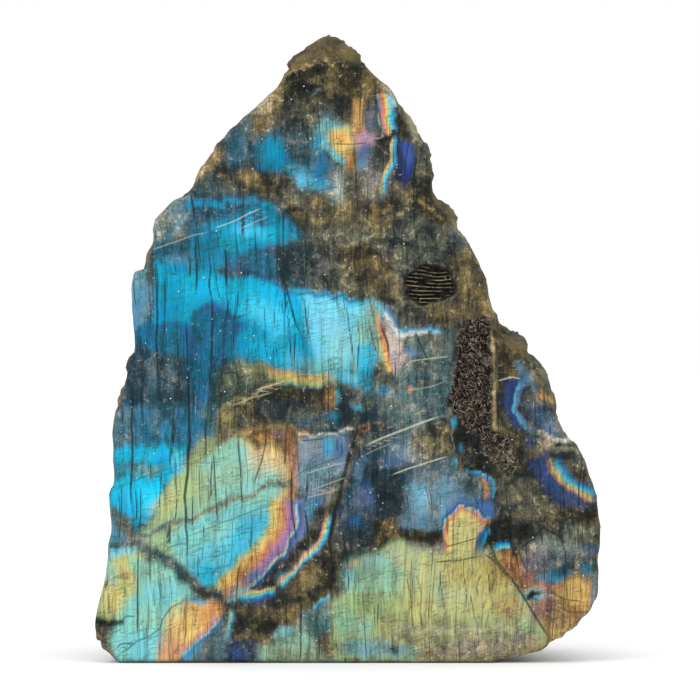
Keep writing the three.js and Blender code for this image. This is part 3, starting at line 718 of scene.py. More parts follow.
patch((0.66, 0.25, 0.42, 0.8), 0.8, 0.9, (-25.6, 48.6), (3, 1.4), 20)
patch((0.6, 0.25, 0.38, 0.7), 0.8, 0.9, (-28, 45.6), (2, 2.4), 40)
for middle in ((2.7, 46.8), (6.2, 47.8)):
    patch((0.86, 0.4, 0.5, 0.9, 0), 0.85, 0.3, middle, (1, 0.8))
    patch("black", 0.9, 0.4, middle, (0.5, 0.4))
print("painted:", "the dark knot in the middle")

# %% [markdown]
# ### The wide flash at lower left
# The largest flash runs from cyan at the left edge through yellow-green and aqua to gold and orange
# on its right.

# %% Paint: the wide flash at lower left
area((0.2, 0.5, 0.28, 0.3), 0.95, 1.3,
    "-47.8,43 -48,50.6 -45,51.6 -38,51 -33,51.2 -26.6,50.6 -27.4,45 -32,41 -38,43")
area((0.22, 0.3, 0.5, 0.35, 0.03), 0.85, 1, "-48.5,40 -48.2,51 -43.6,50.6 -43.6,43.2 -45.5,43")
area("slate", 0.5, 0.9, "-38.6,44.5 -38,52 -35,52 -34.7,44.5")
patch((0.2, 0.6, 0.3, 0.1), 0.6, 0.8, (-31.6, 48.4), (2.4, 3.4))
patch((0.21, 0.8, 0.4, 0.1), 0.7, 0.7, (-37, 45.3), (1.2, 1.8))
patch((0.2, 0.3, 0.6, 0.2), 0.5, 0.8, (-38.9, 47.5), (0.7, 3.4))
patch((0.42, 0.2, 0.4, 0.5), 0.7, 0.8, (-28.4, 50), (1.6, 2.4))
area((0.26, 0.95, 0.4, 0.2), 0.95, 0.9,
    "-47.8,39.4 -47.6,42.6 -44.6,43.6 -38,43.3 -33.2,42.3 -33,38.6 -37,34.8 -37.6,30.5 -41,28.6 -44,27 "
    "-47.8,28 -48.6,33.5")
area((0.22, 0.5, 0.5, 0.4), 0.8, 1, "-47.8,36.6 -47.4,39.4 -42,40 -37.4,39.6 -38.4,37.6 -43,36.8")
patch((0.5, 0.5, 0.55, 0.5), 0.6, 0.8, (-41, 38.8), (2.6, 0.8))
patch((0.3, 1, 0.4, 0.2, 0.06), 0.85, 0.8, (-44.6, 32.5), (2.6, 3.6))
patch((0.3, 1, 0.5, 0.2, 0.06), 0.7, 0.8, (-40, 34), (1.8, 2.8))
patch((0.3, 1, 0.4, 0.2, 0.04), 0.8, 0.7, (-44.4, 41.6), (2.4, 1.3))
patch((0.29, 1, 0.4, 0.2, 0.06), 0.8, 0.7, (-39.4, 41.6), (2.6, 1.2))
patch((0.36, 1, 0.5, 0.2, 0.1), 0.8, 0.8, (-34.6, 40), (1.6, 1.8))
patch((0.34, 0.9, 0.5, 0.2, 0.08), 0.7, 0.8, (-38.6, 30.6), (2, 1.6))
area((0.21, 0.6, 0.5, 0.35, 0.08), 0.9, 1, "-48.6,21.6 -48,28.4 -44.5,29 -42.2,26.5 -42.5,22")
patch((0.18, 0.95, 0.4, 0.2), 0.8, 0.7, (-43.8, 27.8), (1.6, 1.3))
area((0.53, 1, 0.6, 0.4, 0.1), 1, 1.6,
    "-38.6,28.5 -37.4,32.6 -33.6,38 -31.6,40 -28,42 -24.4,43.4 -21,45 -12,46.4 -10.3,40 -12,32 "
    "-14,26 -20,21 -27,17 -32,16.6 -38,21.5 -44,24")
area((0.45, 0.95, 0.62, 0.4, 0.24), 0.85, 2.4, "-27,41.6 -20,43.8 -14,40 -13,32 -20,31.5 -27,32 -31,38")
streak((0.6, 0.9, 0.5, 0.6, 0.03), 0.7, 3, 1, "-38.4,28.6 -35.4,32 -32.4,36.4 -30,41.5 -28.8,43")
patch((0.6, 0.5, 0.42, 0.7), 0.6, 0.9, (-29.6, 42.6), (1.4, 2.6), -25)
patch((0.63, 0.9, 0.5, 0.6, 0.05), 0.6, 0.8, (-34.4, 34.6), (1.7, 2.8), -35)
patch((0.64, 1, 0.5, 0.6, 0.12), 0.7, 0.8, (-36.6, 31), (2.6, 2.2))
patch((0.6, 0.9, 0.5, 0.6, 0.1), 0.7, 0.8, (-30, 35.6), (3.4, 2.4), 20)
patch((0.56, 0.9, 0.6, 0.5, 0.2), 0.6, 0.8, (-24, 38), (3, 3))
area((0.57, 1, 0.6, 0.5, 0.1), 0.8, 1.2, "-41.5,24.5 -37.6,28 -31,28.6 -31,25 -36,21 -39.5,22")
area((0.42, 1, 0.6, 0.3, 0.08), 0.85, 1.4,
    "-36,25 -31,28.6 -20,32.4 -13.6,31.6 -16,23 -22,19.4 -28,16.6 -32,17 -35,21")
area((0.32, 0.95, 0.4, 0.3), 0.75, 1.8, "-24,25.6 -21,29.4 -16,29.6 -16.4,24.5 -20.4,21.6 -25,21.4")
patch((0.27, 1, 0.4, 0.3), 0.9, 0.8, (-28.4, 17.8), (3.4, 2.4), -20)
patch((0.34, 1, 0.5, 0.3, 0.1), 0.6, 0.8, (-27, 21.6), (3, 1.6))
patch((0.28, 0.95, 0.4, 0.3), 0.7, 0.8, (-23, 20), (2.4, 1.8), 30)
patch((0.47, 1, 0.6, 0.3, 0.2), 0.6, 0.8, (-28, 26), (3.4, 1.8), 15)
area((0.62, 0.95, 0.6, 0.5, 0.05), 1, 1.2, "-51,9.6 -48.2,22 -44.5,23.3 -41,21.6 -40.5,14 -44,9.5 -48,8.4")
patch((0.34, 0.9, 0.5, 0.3, 0.1), 0.85, 0.8, (-46, 22.2), (2.6, 1.3), 15)
patch((0.7, 0.9, 0.6, 0.6, 0.04), 0.8, 0.8, (-47.6, 13.5), (1.3, 3.4), 8)
patch((0.69, 0.95, 0.6, 0.6, 0.14), 0.7, 0.8, (-44.4, 17.4), (1.3, 3.4), 10)
patch((0.42, 0.8, 0.5, 0.3), 0.6, 0.8, (-47.9, 18), (1.1, 3))
area((0.45, 1, 0.6, 0.3, 0.15), 1, 1.5,
    "-43.5,20.8 -38,20 -33,15.6 -30.5,13 -33.5,11.6 -36.6,9 -38.4,1 -47,0.3 -48,4 -46,9 -44.6,12 "
    "-41.8,15")
patch((0.54, 0.95, 0.6, 0.3, 0.1), 0.6, 0.8, (-39, 17), (3.4, 2.6), -20)
patch((0.4, 1, 0.6, 0.3, 0.1), 0.6, 0.8, (-37, 13), (4, 2.4), -20)
patch((0.37, 1, 0.6, 0.3, 0.15), 0.6, 0.8, (-41, 3), (3, 2.8))
patch((0.56, 0.8, 0.6, 0.3, 0.1), 0.5, 0.8, (-40, 9), (2.6, 2))
patch("olive", 0.6, 0.6, (-49, 5.6), (1.7, 1.7))
patch("tan", 0.6, 0.6, (-48.4, 2.8), (1.8, 1.2), -30)
streak("coal", 0.9, 1.1, 0.8, "-51,7.8 -48,7.7 -45.7,7.9")
area((0.76, 0.85, 0.6, 0.8, 0.18), 0.9, 1.6,
    "-22,45 -20,46.6 -11,46.9 -10.6,44 -11,33 -12.5,29 -14.4,31 -13.4,37 -15.4,40 -19,41")
area((None, 0, 0.26, 0.95), 0.85, 0.8, "-22.4,44.8 -18.4,46.9 -10.8,47 -10.6,43.8 -13.6,42.2 -18,42.4")
patch((0.8, 0.5, 0.4, 0.9), 0.8, 0.8, (-17.4, 44.8), (1.8, 0.9))
patch((0.95, 0.3, 0.4, 0.7, 0.05), 0.8, 0.7, (-14.4, 45.6), (1.4, 0.8))
patch((0.72, 0.8, 0.66, 0.8, 0.34), 0.7, 0.8, (-16.6, 40), (3, 2.6))
streak((0.84, 0.55, 0.36, 0.9), 0.85, 1.7, 0.8, "-12.4,45.4 -11.7,40 -11.7,35 -12,31")
patch((0.93, 0.5, 0.4, 0.8, 0.1), 0.7, 0.7, (-10.9, 39.6), (0.8, 3.6))
area((0.12, 0.5, 0.5, 0.2, 0.3), 0.95, 1,
    "-10.4,45 -6,45.4 -1,46.4 0,44 -0.8,37 -3,33.5 -9.5,33 -10.3,37")
patch((0.03, 0.5, 0.6, 0.3, 0.45), 0.8, 0.8, (-8, 42.2), (2, 2))
patch((0.22, 0.9, 0.5, 0.2, 0.2), 0.9, 0.7, (-4, 43), (1.5, 2.2))
patch((0.12, 0.8, 0.5, 0.2, 0.15), 0.8, 0.7, (-2, 42.4), (1.2, 2.4))
patch((0.33, 0.3, 0.6, 0.3, 0.1), 0.7, 0.8, (-6.6, 37.4), (3, 2.4))
streak((0.3, 0.2, 0.7, 0.3, 0.15), 0.7, 1.2, 0.9, "-9,35.6 -5,37 -1,38.4")
area("grey green", 0.8, 1, "-3.6,37 -0.6,38 -0.8,36 -2.4,33 -6.4,33")
patch((0.18, 0.9, 0.5, 0.2, 0.1), 0.9, 0.6, (-7.2, 32), (2.4, 1.2), 12)
area((0.2, 0.15, 0.28, 0.3), 0.8, 0.8, "-11,47 -6,46.2 -1.4,46.9 -1.6,49.6 -7,49.8 -12,49.6")
patch("pale slate", 0.6, 0.6, (-5.4, 47.5), (1.8, 1))
streak("white", 0.6, 0.5, 0.8, "-10.2,45.9 -8,45.6 -5,45.9 -2,46.3 0.4,46.6")
patch("orange", 0.5, 0.6, (-9.2, 45.8), (1, 0.4))
print("painted:", "the wide flash at lower left")

# %% [markdown]
# ### The great fringe
# The crystal's layers end in steps here, so whole rainbows are squeezed into lines a few millimetres
# wide.

# %% Paint: the great fringe
area((0.07, 0.8, 0.55, 0.3, 0.3), 0.95, 1,
    "-12.6,32.2 -7.4,32.8 -7,28.6 -8.6,25.6 -11.6,22.4 -16,19.8 -15.4,24 -13,27")
patch((0.2, 0.9, 0.5, 0.3, 0.2), 0.8, 0.7, (-8.2, 30.4), (1.2, 2.4))
patch((0.98, 0.8, 0.5, 0.3, 0.2), 0.8, 0.8, (-12.4, 25.6), (1.3, 4), -20)
area((None, 0, 0.3, 0.35), 0.9, 1,
    "-7.6,30.4 -4.6,32 -4.6,27 -7,23 -10,20 -15.5,15.4 -21,15.6 -20,18.6 -14.6,20 -9.5,23.8")
streak("dark brown", 0.7, 1.4, 0.8, "-6,26 -9.4,23 -13.6,19.6 -18,17")
fringe([0.04, 0.0, 1, 0.97, 0.9, 0.82, 0.76, 0.7, 0.6, 0.45], 1, 7.4,
    "-24.6,13 -21.5,17.2 -18,20.6 -15,23.6 -13.4,27 -12.6,32.4", 0.95, 0.06, 0.02)
area((0.78, 0.7, 0.36, 0.9), 0.7, 1.3,
    "-25.6,14 -23.4,17.6 -20,21.4 -18,22 -18.4,19.4 -19.8,16.8 -23,14.4")
patch((0.74, 0.9, 0.5, 0.8, 0.05), 0.7, 0.8, (-24, 15.8), (1.4, 2.2), -20)
patch((0.72, 0.9, 0.5, 0.8, 0.1), 0.6, 0.8, (-15.4, 28.4), (1, 2.6), -8)
patch((0.17, 0.7, 0.4, 0.1, 0.1), 0.8, 0.7, (-19, 17.6), (2, 1.1), 35)
patch((0.35, 0.4, 0.5, 0.3, 0.1), 0.7, 0.7, (-13, 17.4), (1.7, 1), 30)
fringe([0.1, 0.22, 0.36, 0.72, 0.84, 0.95], 0.95, 2.1,
    "-14.8,14.4 -12.4,16.7 -9,20.1 -6.4,22.7 -5.3,24.6 -4.9,27 -4.2,30.4", 0.95, 0.18, 0.12)
fringe([0.03, 0.13, 0.28, 0.66, 0.8], 0.9, 2.6, "-22.4,12 -20.5,13.2 -18.2,13.9 -14.6,14.2", 0.95, 0.1, 0.1)
patch("indigo", 0.7, 0.7, (-17, 12.5), (2.4, 0.8))
fringe([0.14, 0.4, 0.8, 0.99, 0.14], 0.7, 2.6, "-24.6,11.8 -22.6,14 -20.4,15.6", 0.8, 0.2, 0.15)
fringe([0.08, 0.22, 0.45, 0.72], 0.9, 1.9, "-24.6,4.2 -23.4,7.4 -22.8,10.6", 0.9, 0.1, 0.2)
area((None, 0, 0.36, 0.85), 0.95, 1,
    "-22,11.6 -19,12.2 -15,12.8 -13.6,14 -9.6,18.6 -5,22.2 -4.2,22.3 -2.8,16.4 -2.4,14 -6.6,11.2 "
    "-9.6,9.6 -10,7 -14.5,6 -17,3 -24.4,3.6 -23,8")
patch("dark brown", 0.6, 0.8, (-16, 8), (3, 1.6))
patch("coal", 0.8, 0.7, (-20.9, 7.8), (1.2, 1.6))
patch("coal", 0.7, 0.8, (-3.6, 19.6), (1.4, 3.4))
patch("tan", 0.5, 0.8, (-8, 16.6), (3, 1.6), 30)
patch("tan", 0.4, 0.8, (-18, 9.8), (3, 1.2))
patch("tan", 0.4, 0.8, (-13, 10.6), (2, 1))
patch("slate", 0.6, 0.8, (-13.6, 12.6), (2.4, 1))
area((0.06, 0.3, 0.3, 0.25, 0.02), 0.8, 1, "-25.4,0.4 -24.4,5 -18.4,4.6 -16,0.4")
patch((0.06, 0.7, 0.3, 0.2, 0.1), 0.7, 0.7, (-22.4, 2.4), (2, 0.9))
area((0.5, 0.55, 0.62, 0.45, 0.12), 0.95, 1.4,
    "-18.4,0 -17.4,3.2 -14.6,4 -13.8,6.6 -10.5,7.6 -8,6 -6.6,2.6 -4,0")
patch((0.38, 0.6, 0.6, 0.3, 0.2), 0.8, 0.7, (-13, 6.4), (1.9, 1.1), 20)
patch("tan", 0.4, 0.8, (-8, 1.2), (4, 1.4))
patch((0.56, 0.5, 0.6, 0.6, 0.05), 0.6, 0.8, (-14, 1.6), (3, 1.2))
area((0.4, 0.2, 0.4, 0.5), 0.9, 1, "-9.8,6.6 -9.4,9.6 -6.4,11.4 -3,13.2 -2.4,10 -5,6 -7,4.6")
fringe([0.5, 0.33, 0.2, 0.1], 0.8, 1.6, "-3.2,13.4 -5.6,12.2 -7.4,10.6", 0.85, 0.1)
area((0.75, 0.9, 0.6, 0.8, 0.15), 0.98, 1,
    "-38.2,0.6 -37.6,4.4 -36.2,8 -33.2,11.3 -30.2,12.6 -26.4,12.6 -25,10.4 -27.6,6.9 -30.6,4.2 "
    "-33.8,0.8")
patch((0.66, 0.9, 0.6, 0.7, 0.25), 0.8, 0.8, (-34.6, 9.8), (1.3, 3), -30)
patch((0.86, 0.85, 0.5, 0.8, 0.1), 0.8, 0.8, (-35.6, 2.6), (2.4, 2))
patch((0.82, 0.85, 0.5, 0.8, 0.05), 0.7, 0.8, (-28, 10), (2.4, 2), 30)
patch((0.72, 0.9, 0.6, 0.8, 0.1), 0.6, 0.8, (-32.4, 6.6), (2, 2.4), -35)
patch((0.24, 0.7, 0.5, 0.3, 0.15), 0.9, 0.6, (-30.2, 12.4), (2, 0.7))
area((0.2, 0.3, 0.5, 0.3, 0.1), 0.9, 1, "-33.4,0.2 -30.4,3.6 -27.2,6.6 -24.8,9.4 -24.2,4 -25.4,0.2")
fringe([0.15, 0.04, 0.95, 0.86, 0.78], 0.85, 2.8, "-34.2,1 -31,3.9 -28,6.6 -25.2,9.8", 0.9, 0.2, 0.15)
patch((0.27, 0.7, 0.5, 0.2, 0.1), 0.8, 0.7, (-31.4, 2), (1.6, 1.1), 30)
patch("tan", 0.5, 0.8, (-28.6, 2.4), (1.6, 1), 35)
print("painted:", "the great fringe")

# %% [markdown]
# ### The navy middle
# Between the wide flashes lies dark blue glass with small royal-blue lights.

# %% Paint: the navy middle
area((0.16, 0.14, 0.28, 0.25), 0.95, 1,
    "3,45.6 10,45.6 13,44 12.6,36 11,29.4 5.4,28 5,22.6 -0.4,21 -3.6,24 -2.4,31 0.4,38")
patch((0.1, 0.85, 0.4, 0.1, 0.1), 0.85, 0.9, (8.6, 40.8), (2, 1.4), 20)
patch((0.15, 0.5, 0.4, 0.1), 0.7, 0.8, (3.6, 40.4), (1, 1.6))
patch((0.17, 0.5, 0.4, 0.1), 0.7, 0.8, (1.7, 37.6), (1, 2.2))
patch((0.1, 0.6, 0.4, 0.1, 0.05), 0.7, 0.8, (3.6, 33.4), (1.6, 2.6))
patch((0.16, 0.4, 0.4, 0.1), 0.6, 0.8, (0.4, 32.6), (1, 2.6))
patch((0.1, 0.75, 0.4, 0.1), 0.8, 0.7, (1.2, 28), (1.2, 1.4))
patch("coal", 0.6, 0.8, (8.2, 33.6), (2.4, 4.6))
patch("coal", 0.5, 0.8, (5.4, 37.6), (1, 2.4))
patch("grey green", 0.7, 0.8, (5.4, 44.2), (3, 0.9), 18)
patch((0.15, 0.35, 0.62, 0.3, 0.08), 0.85, 0.9, (11, 42.6), (4.6, 2.8), 18)
patch((0.3, 0.1, 0.5, 0.4), 0.7, 0.9, (9, 50), (4, 2.4), 15)
area("brown", 0.8, 1, "5,28.4 9.8,29 11,26.6 11,24 6,22.3 5,24")
patch("dark brown", 0.6, 0.7, (7, 22.8), (2.8, 1))
area((None, 0, 0.3, 0.5), 0.6, 1, "-3,26 2,26.4 4.8,25.6 4.8,22.8 0,21.4 -3,22.8")
area((0.19, 0.5, 0.6, 0.25, 0.2), 0.95, 1.4,
    "11.2,29 12.4,36 13.4,38.6 20,40 21,38 24,37 27,34 25,31 19.6,28.8 18.4,26.8 10,27.2")
area((0.15, 0.2, 0.54, 0.35), 0.8, 1.2, "12.4,36.4 13.4,39.6 20.6,41 21.6,38 17.4,36 14.6,35.4")
patch((0.28, 0.55, 0.7, 0.3, 0.25), 0.7, 0.8, (14.6, 33), (2.4, 2))
patch((0.16, 0.7, 0.5, 0.2, 0.25), 0.7, 0.8, (13.5, 28.2), (3.4, 1.3))
patch((0.2, 0.6, 0.6, 0.2, 0.2), 0.7, 0.8, (18.8, 32), (1.2, 2.4))
patch((0.14, 0.7, 0.5, 0.2, 0.25), 0.7, 0.8, (22.4, 32.6), (2.4, 1.2), -20)
patch("slate", 0.6, 0.8, (17.2, 30), (0.7, 2.6))
patch((None, 0, 0.42, 0.6), 0.8, 0.8, (24.4, 35), (2, 1.6), -30)
area((None, 0, 0.44, 0.65), 0.85, 1, "11.6,45.4 18.4,48.2 20.2,46 21,42 14.8,40.6 12.4,42")
patch("tan", 0.5, 0.8, (15.4, 43.4), (1.2, 1.8))
patch("dark brown", 0.6, 0.7, (17.6, 46.2), (1.6, 1.2))
area("coal", 0.9, 0.9, "21,49 27,45.6 29,41 29.6,37 28.8,37.6 25.6,38.6 22.4,38.7 21.6,41 20.8,46")
patch("slate", 0.5, 0.7, (23.6, 42), (1.6, 2))
patch((0.24, 0.9, 0.4, 0.2), 0.8, 0.7, (20.6, 47.8), (0.5, 1))
patch((0.17, 0.8, 0.3, 0.2, 0.05), 0.8, 0.7, (22.4, 42.4), (0.6, 0.8))
patch((0.24, 0.85, 0.3, 0.2, 0.1), 0.8, 0.7, (21.3, 39.8), (0.4, 1.1))
streak((0.8, 0.7, 0.5, 0.9), 0.7, 0.9, 0.8, "26.8,36.6 27.4,34.6 27.2,32.6")
fringe([0.34, 0.24, 0.13, 0.05], 0.85, 1.2, "27.8,31.8 28.6,34 28.2,36.4 26,37.8 22.6,38.2", 0.85, 0.1, 0.15)
area((0.1, 0.85, 0.4, 0.2, 0.15), 0.9, 1, "19,28 20,30.6 22,32 26,32.4 28.8,31 29.4,29 26.4,28")
area((0.68, 1, 0.7, 0.7, 0.1), 1, 0.6,
    "18.9,20.8 18.9,25.6 19.8,28.2 22.2,30 24.2,29.9 26,28.6 28.2,26.8 27.2,26.4 25.8,25 25,23 "
    "24.6,21.6")
fringe([0.68, 0.76, 0.84, 0.9, 0.02, 0.1], 0.9, 1.9,
    "18.7,21.6 18.6,25.6 19.6,28.7 22.2,30.5 24.8,30.3 26.8,28.8 29.2,28.4", 0.9, 0.06, 0.08)
patch((0.64, 1, 0.7, 0.7, 0.14), 0.7, 0.8, (22.4, 25), (2.4, 3.4))
area("coal", 0.95, 0.8, "27.4,26.8 30.6,30.4 33.4,27 32.6,23.4 29,22.4 26,21.6 25.6,24")
fringe([0.05, 0.1, 0.2, 0.3], 0.8, 2.2, "28.4,27 26.7,25.8 25.7,23.8 25.2,21.4", 0.95, 0, 0.08)
fringe([0.1, 0.2, 0.34, 0.5], 0.9, 1.6, "32.6,23.2 30.4,23.4 28,22.2 25.6,21.2", 0.9, 0, 0.08)
area("dark brown", 0.85, 0.6, "10.2,24.6 10,26.8 18.4,26.7 18.9,24 14.6,23.8")
area((0.02, 0.25, 0.6, 0.6, 0.15), 0.85, 0.6, "12.4,24 18.6,24 18.8,22 16,21.4 13,21.4")
print("painted:", "the navy middle")

# %% [markdown]
# ### The green and gold foot
# The foot flashes sage green, yellow-green and gold.

# %% Paint: the green and gold foot
area((0.58, 0.85, 0.56, 0.55, 0.1), 1, 1.2,
    "-3,0 -3.4,3.6 -3.8,9.5 -2.6,12.6 -0.6,14.6 0.6,18 3.6,20.8 6.4,22 8.6,23.8 11,24.2 13,22 18,21.6 "
    "24,21.6 28.4,22 29.6,20.4 33,16.4 36.8,10.6 40,5 40,2.4 30,0")
area((0.65, 0.95, 0.66, 0.6, 0.14), 0.9, 2.4, "9,22 20,21.4 27.5,21.6 31,17 31,10 24,9 16,9 10.6,10 9.6,16")
area((0.68, 0.75, 0.52, 0.75, 0.04), 0.75, 2.4, "19,21 28,21.6 32,17 35,11 30,9.6 24,12 19,15")
patch((0.72, 0.45, 0.42, 0.9), 0.75, 0.9, (29.4, 18.6), (3, 2.4), -40)
patch((0.62, 1, 0.7, 0.6, 0.3), 0.6, 0.8, (21, 13.4), (5, 2.2))
patch((0.8, 0.5, 0.56, 0.8, 0.1), 0.6, 0.8, (32.6, 11), (2.6, 2.6), -40)
area((0.51, 0.8, 0.58, 0.4, 0.13), 0.85, 1.8, "-1.4,15.4 -0.6,20 4,21.2 8,21.4 11,17.6 9,13.6 2,13")
patch((0.36, 0.6, 0.5, 0.3, 0.1), 0.5, 0.8, (-0.2, 17), (1, 2.6))
patch((0.76, 0.6, 0.6, 0.8, 0.2), 0.7, 0.7, (1.2, 19.6), (1.8, 0.7), 15)
patch((0.46, 0.8, 0.7, 0.3, 0.3), 0.7, 0.8, (5.6, 20), (3, 1.2))
patch((0.6, 0.9, 0.7, 0.4, 0.4), 0.6, 0.8, (9.6, 21.6), (2, 1.6))
area((0.57, 0.6, 0.48, 0.7), 0.85, 1.4, "-2,12.6 4,14.4 10,13 10.6,9 6,8.6 0,9")
patch((0.6, 0.4, 0.44, 0.85), 0.6, 0.8, (5, 13.6), (4, 0.6))
patch((0.62, 0.5, 0.5, 0.85), 0.7, 0.8, (8.8, 10.4), (1.6, 3))
patch((0.66, 0.7, 0.5, 0.8), 0.7, 0.8, (14, 10.6), (3, 2.6))
patch((0.5, 0.75, 0.5, 0.4, 0.05), 0.8, 0.8, (-1.2, 8.4), (1.8, 2.8))
patch((0.6, 0.5, 0.42, 0.8), 0.7, 0.7, (-3.4, 11.8), (1, 1.3))
patch((0.5, 0.7, 0.68, 0.5, 0.2), 0.85, 0.6, (2.4, 6.9), (1.9, 1.5))
area((0.64, 0.4, 0.55, 0.85, 0.06), 0.85, 1.6, "4.5,3.8 5.5,8.4 16,9.2 26,8.4 34,9 33,6 20,4.4 12,3.6")
streak((0.6, 0.3, 0.8, 0.75, 0.3), 0.7, 1.6, 0.9, "9,6.6 13,6.8 18,6.2 24,6.8 31,7")
patch("tan", 0.5, 0.8, (12, 4.6), (3, 1.2))
patch((0.3, 0.35, 0.55, 0.35, 0.05), 0.85, 0.8, (3, 2.6), (4, 1.8))
patch((0.28, 0.3, 0.6, 0.3, 0.08), 0.8, 0.8, (9, 2), (5, 1.2))
patch("coal", 0.5, 0.6, (8.6, 2.4), (0.9, 0.8), 30)
patch("olive", 0.6, 0.8, (-3, 2.8), (2.2, 1.4))
area((0.8, 0.15, 0.62, 0.75, 0.06), 0.85, 1.8, "13,0 14,3.6 20,4.4 28,5.2 37,5.4 39.6,4.4 38,1 28,0")
patch((0.97, 0.15, 0.64, 0.6, 0.12), 0.6, 0.8, (24, 3), (6, 1.6))
patch((0.97, 0.15, 0.66, 0.6, 0.1), 0.6, 0.8, (33.6, 5), (3.4, 1.6))
patch((0.5, 0.5, 0.66, 0.4, 0.2), 0.6, 0.8, (13, 18), (0.9, 3.6))
patch((0.52, 0.6, 0.66, 0.5, 0.2), 0.5, 0.8, (17.8, 15), (1, 4))
print("painted:", "the green and gold foot")

# %% [markdown]
# ### The orange corner
# Beyond a long diagonal crack the foot turns orange and slate.

# %% Paint: the orange corner
area((0.78, 0.5, 0.46, 0.9, 0.03), 1, 1.2,
    "29.8,21.6 32.4,21.8 34.8,20.4 37.2,17 41,16 44,16.4 48,17.6 50.4,14 49.6,9.6 45,6 40.4,3.6 "
    "39.4,6.4 36,11.8 32.6,16.8")
patch((0.83, 0.4, 0.24, 0.95), 0.8, 0.9, (32.6, 19), (1.8, 2.4), 35)
patch((0.74, 0.5, 0.46, 0.9, 0.03), 0.8, 0.8, (44.6, 13.2), (3.2, 3))
patch((0.74, 0.6, 0.62, 0.9, 0.16), 0.7, 0.8, (42.6, 7.6), (2.6, 2.4))
patch((0.93, 0.3, 0.38, 0.85, 0.02), 0.85, 0.8, (38.4, 11), (2.6, 3), -30)
patch((0.84, 0.5, 0.42, 0.9), 0.7, 0.8, (38.4, 15.4), (2.4, 1.4))
patch((0.9, 0.4, 0.46, 0.8, 0.05), 0.7, 0.8, (35.4, 17.4), (1.6, 1.6))
patch((None, 0, 0.44, 0.95), 0.5, 0.8, (41, 9.6), (2.4, 3))
patch((None, 0, 0.6, 0.9, 0.05), 0.5, 0.8, (47.4, 9), (2, 2))
area((0.07, 0.15, 0.5, 0.35, 0.06), 0.9, 1,
    "34.4,20.8 37,17.4 41.6,17.2 45,20.4 49.8,20.8 49.6,23.6 44,24.4 36,23")
patch((0.2, 0.15, 0.66, 0.3, 0.05), 0.7, 0.8, (43.4, 22.4), (3, 1.2))
patch((0.97, 0.3, 0.5, 0.5, 0.1), 0.7, 0.8, (36.4, 20), (1.8, 1.6))
area((0.2, 0.55, 0.34, 0.3), 0.9, 0.7, "36.6,15.7 40.6,15.4 44.6,17.6 43.6,19.2 40.4,18.2 38,17")
patch("coal", 0.7, 0.7, (42.6, 18.2), (1.8, 0.8), 10)
patch((0.24, 0.5, 0.5, 0.3, 0.05), 0.7, 0.7, (49, 13.6), (0.9, 3.8))
patch((0.2, 0.6, 0.4, 0.2), 0.7, 0.7, (47.4, 18.6), (1.4, 1.2))
patch((0.15, 0.5, 0.4, 0.2), 0.7, 0.7, (48.6, 22.4), (1.2, 1.3))
patch((0.4, 0.5, 0.5, 0.3, 0.06), 0.7, 0.7, (36.6, 13.4), (2.3, 1.2))
# Painted shade: the open pit here is filled with black.
patch("black", 0.98, 0.4, (36.7, 13.2), (1.5, 0.6), 8)
patch((0.3, 0.7, 0.5, 0.3, 0.1), 0.8, 0.5, (37.4, 13.1), (0.6, 0.25), 8)
print("painted:", "the orange corner")

# %% [markdown]
# ### The right side
# The right side is dull olive-grey stone with three indigo lights, each edged by a thin rainbow.

# %% Paint: the right side
area((None, 0, 0.39, 0.55), 0.95, 1,
    "28.6,36.6 36,37.4 39,33 44,31 50.6,32 51.2,25 50,22.4 44,24 36,22.6 33,23.4 32.8,27 30.6,30")
patch((None, 0, 0.62, 0.35), 0.8, 0.8, (45, 26.4), (3.4, 1.6), -15)
patch((0.2, 0.12, 0.62, 0.3, 0.03), 0.8, 0.8, (39.4, 23.6), (3.4, 1.6))
patch("grey green", 0.6, 0.8, (34.6, 32.4), (2.6, 2.4))
patch("dark brown", 0.85, 0.8, (46.6, 29.4), (4.4, 1.5))
patch("coal", 0.7, 0.8, (33.4, 26.2), (2.4, 1.4), 20)
patch("coal", 0.5, 0.8, (40.6, 28.4), (2.6, 1.2))
area((None, 0, 0.24, 0.7), 0.9, 1, "28.6,37 29,62 33.6,57.6 31.4,54.6 31,47.6 35,46.6 37.6,43 36.4,38")
patch((0.06, 0.35, 0.3, 0.2), 0.7, 0.7, (36.4, 44.2), (1.2, 1.4))
streak((None, 0, 0.66, 1), 0.85, 0.8, 0.8, "28.7,64 28.9,58 29.3,52 29.6,46.4")
streak("straw", 0.7, 0.5, 0.8, "28.4,66 28.7,62 28.8,58")
streak("olive", 0.8, 1.4, 0.9, "30.2,46 30.4,38")
area((None, 0, 0.4, 1), 0.85, 1.2, "29,69.5 31.4,68.4 36.8,64 35.2,60 33,57.4 29.4,58")
patch("dark brown", 0.7, 0.8, (31, 60.5), (1.6, 3))
patch("straw", 0.9, 0.6, (28.5, 71.4), (0.9, 2.2), 15)
streak((0.17, 0.75, 0.5, 0.2, 0.1), 0.8, 0.9, 0.8, "33.3,59.6 35,57.4 37,54.8 38.6,52.8")
patch("pale slate", 0.6, 0.7, (36.2, 57.4), (1, 1.8), 40)
patch((0.2, 0.6, 0.3, 0.2), 0.8, 0.7, (34.4, 56), (0.9, 1.2))
area((0.1, 0.1, 0.36, 0.3), 0.9, 0.9,
    "34.3,55.4 37.4,54.6 39,52.6 41.8,50.4 42,48 44.6,44.6 40,44.4 37,46 35,48.6")
patch((None, 0, 0.66, 0.4), 0.7, 0.8, (36.6, 53), (1.6, 0.8), -40)
patch((0.8, 0.6, 0.3, 1), 0.85, 0.7, (38.7, 53.4), (1.2, 0.8), -40)
patch((0.72, 0.8, 0.6, 1, 0.05), 0.85, 0.6, (40.7, 52.2), (1, 0.8), -40)
patch((0.12, 0.6, 0.6, 0.2, 0.2), 0.8, 0.8, (40.4, 47.2), (1.6, 2.2), 30)
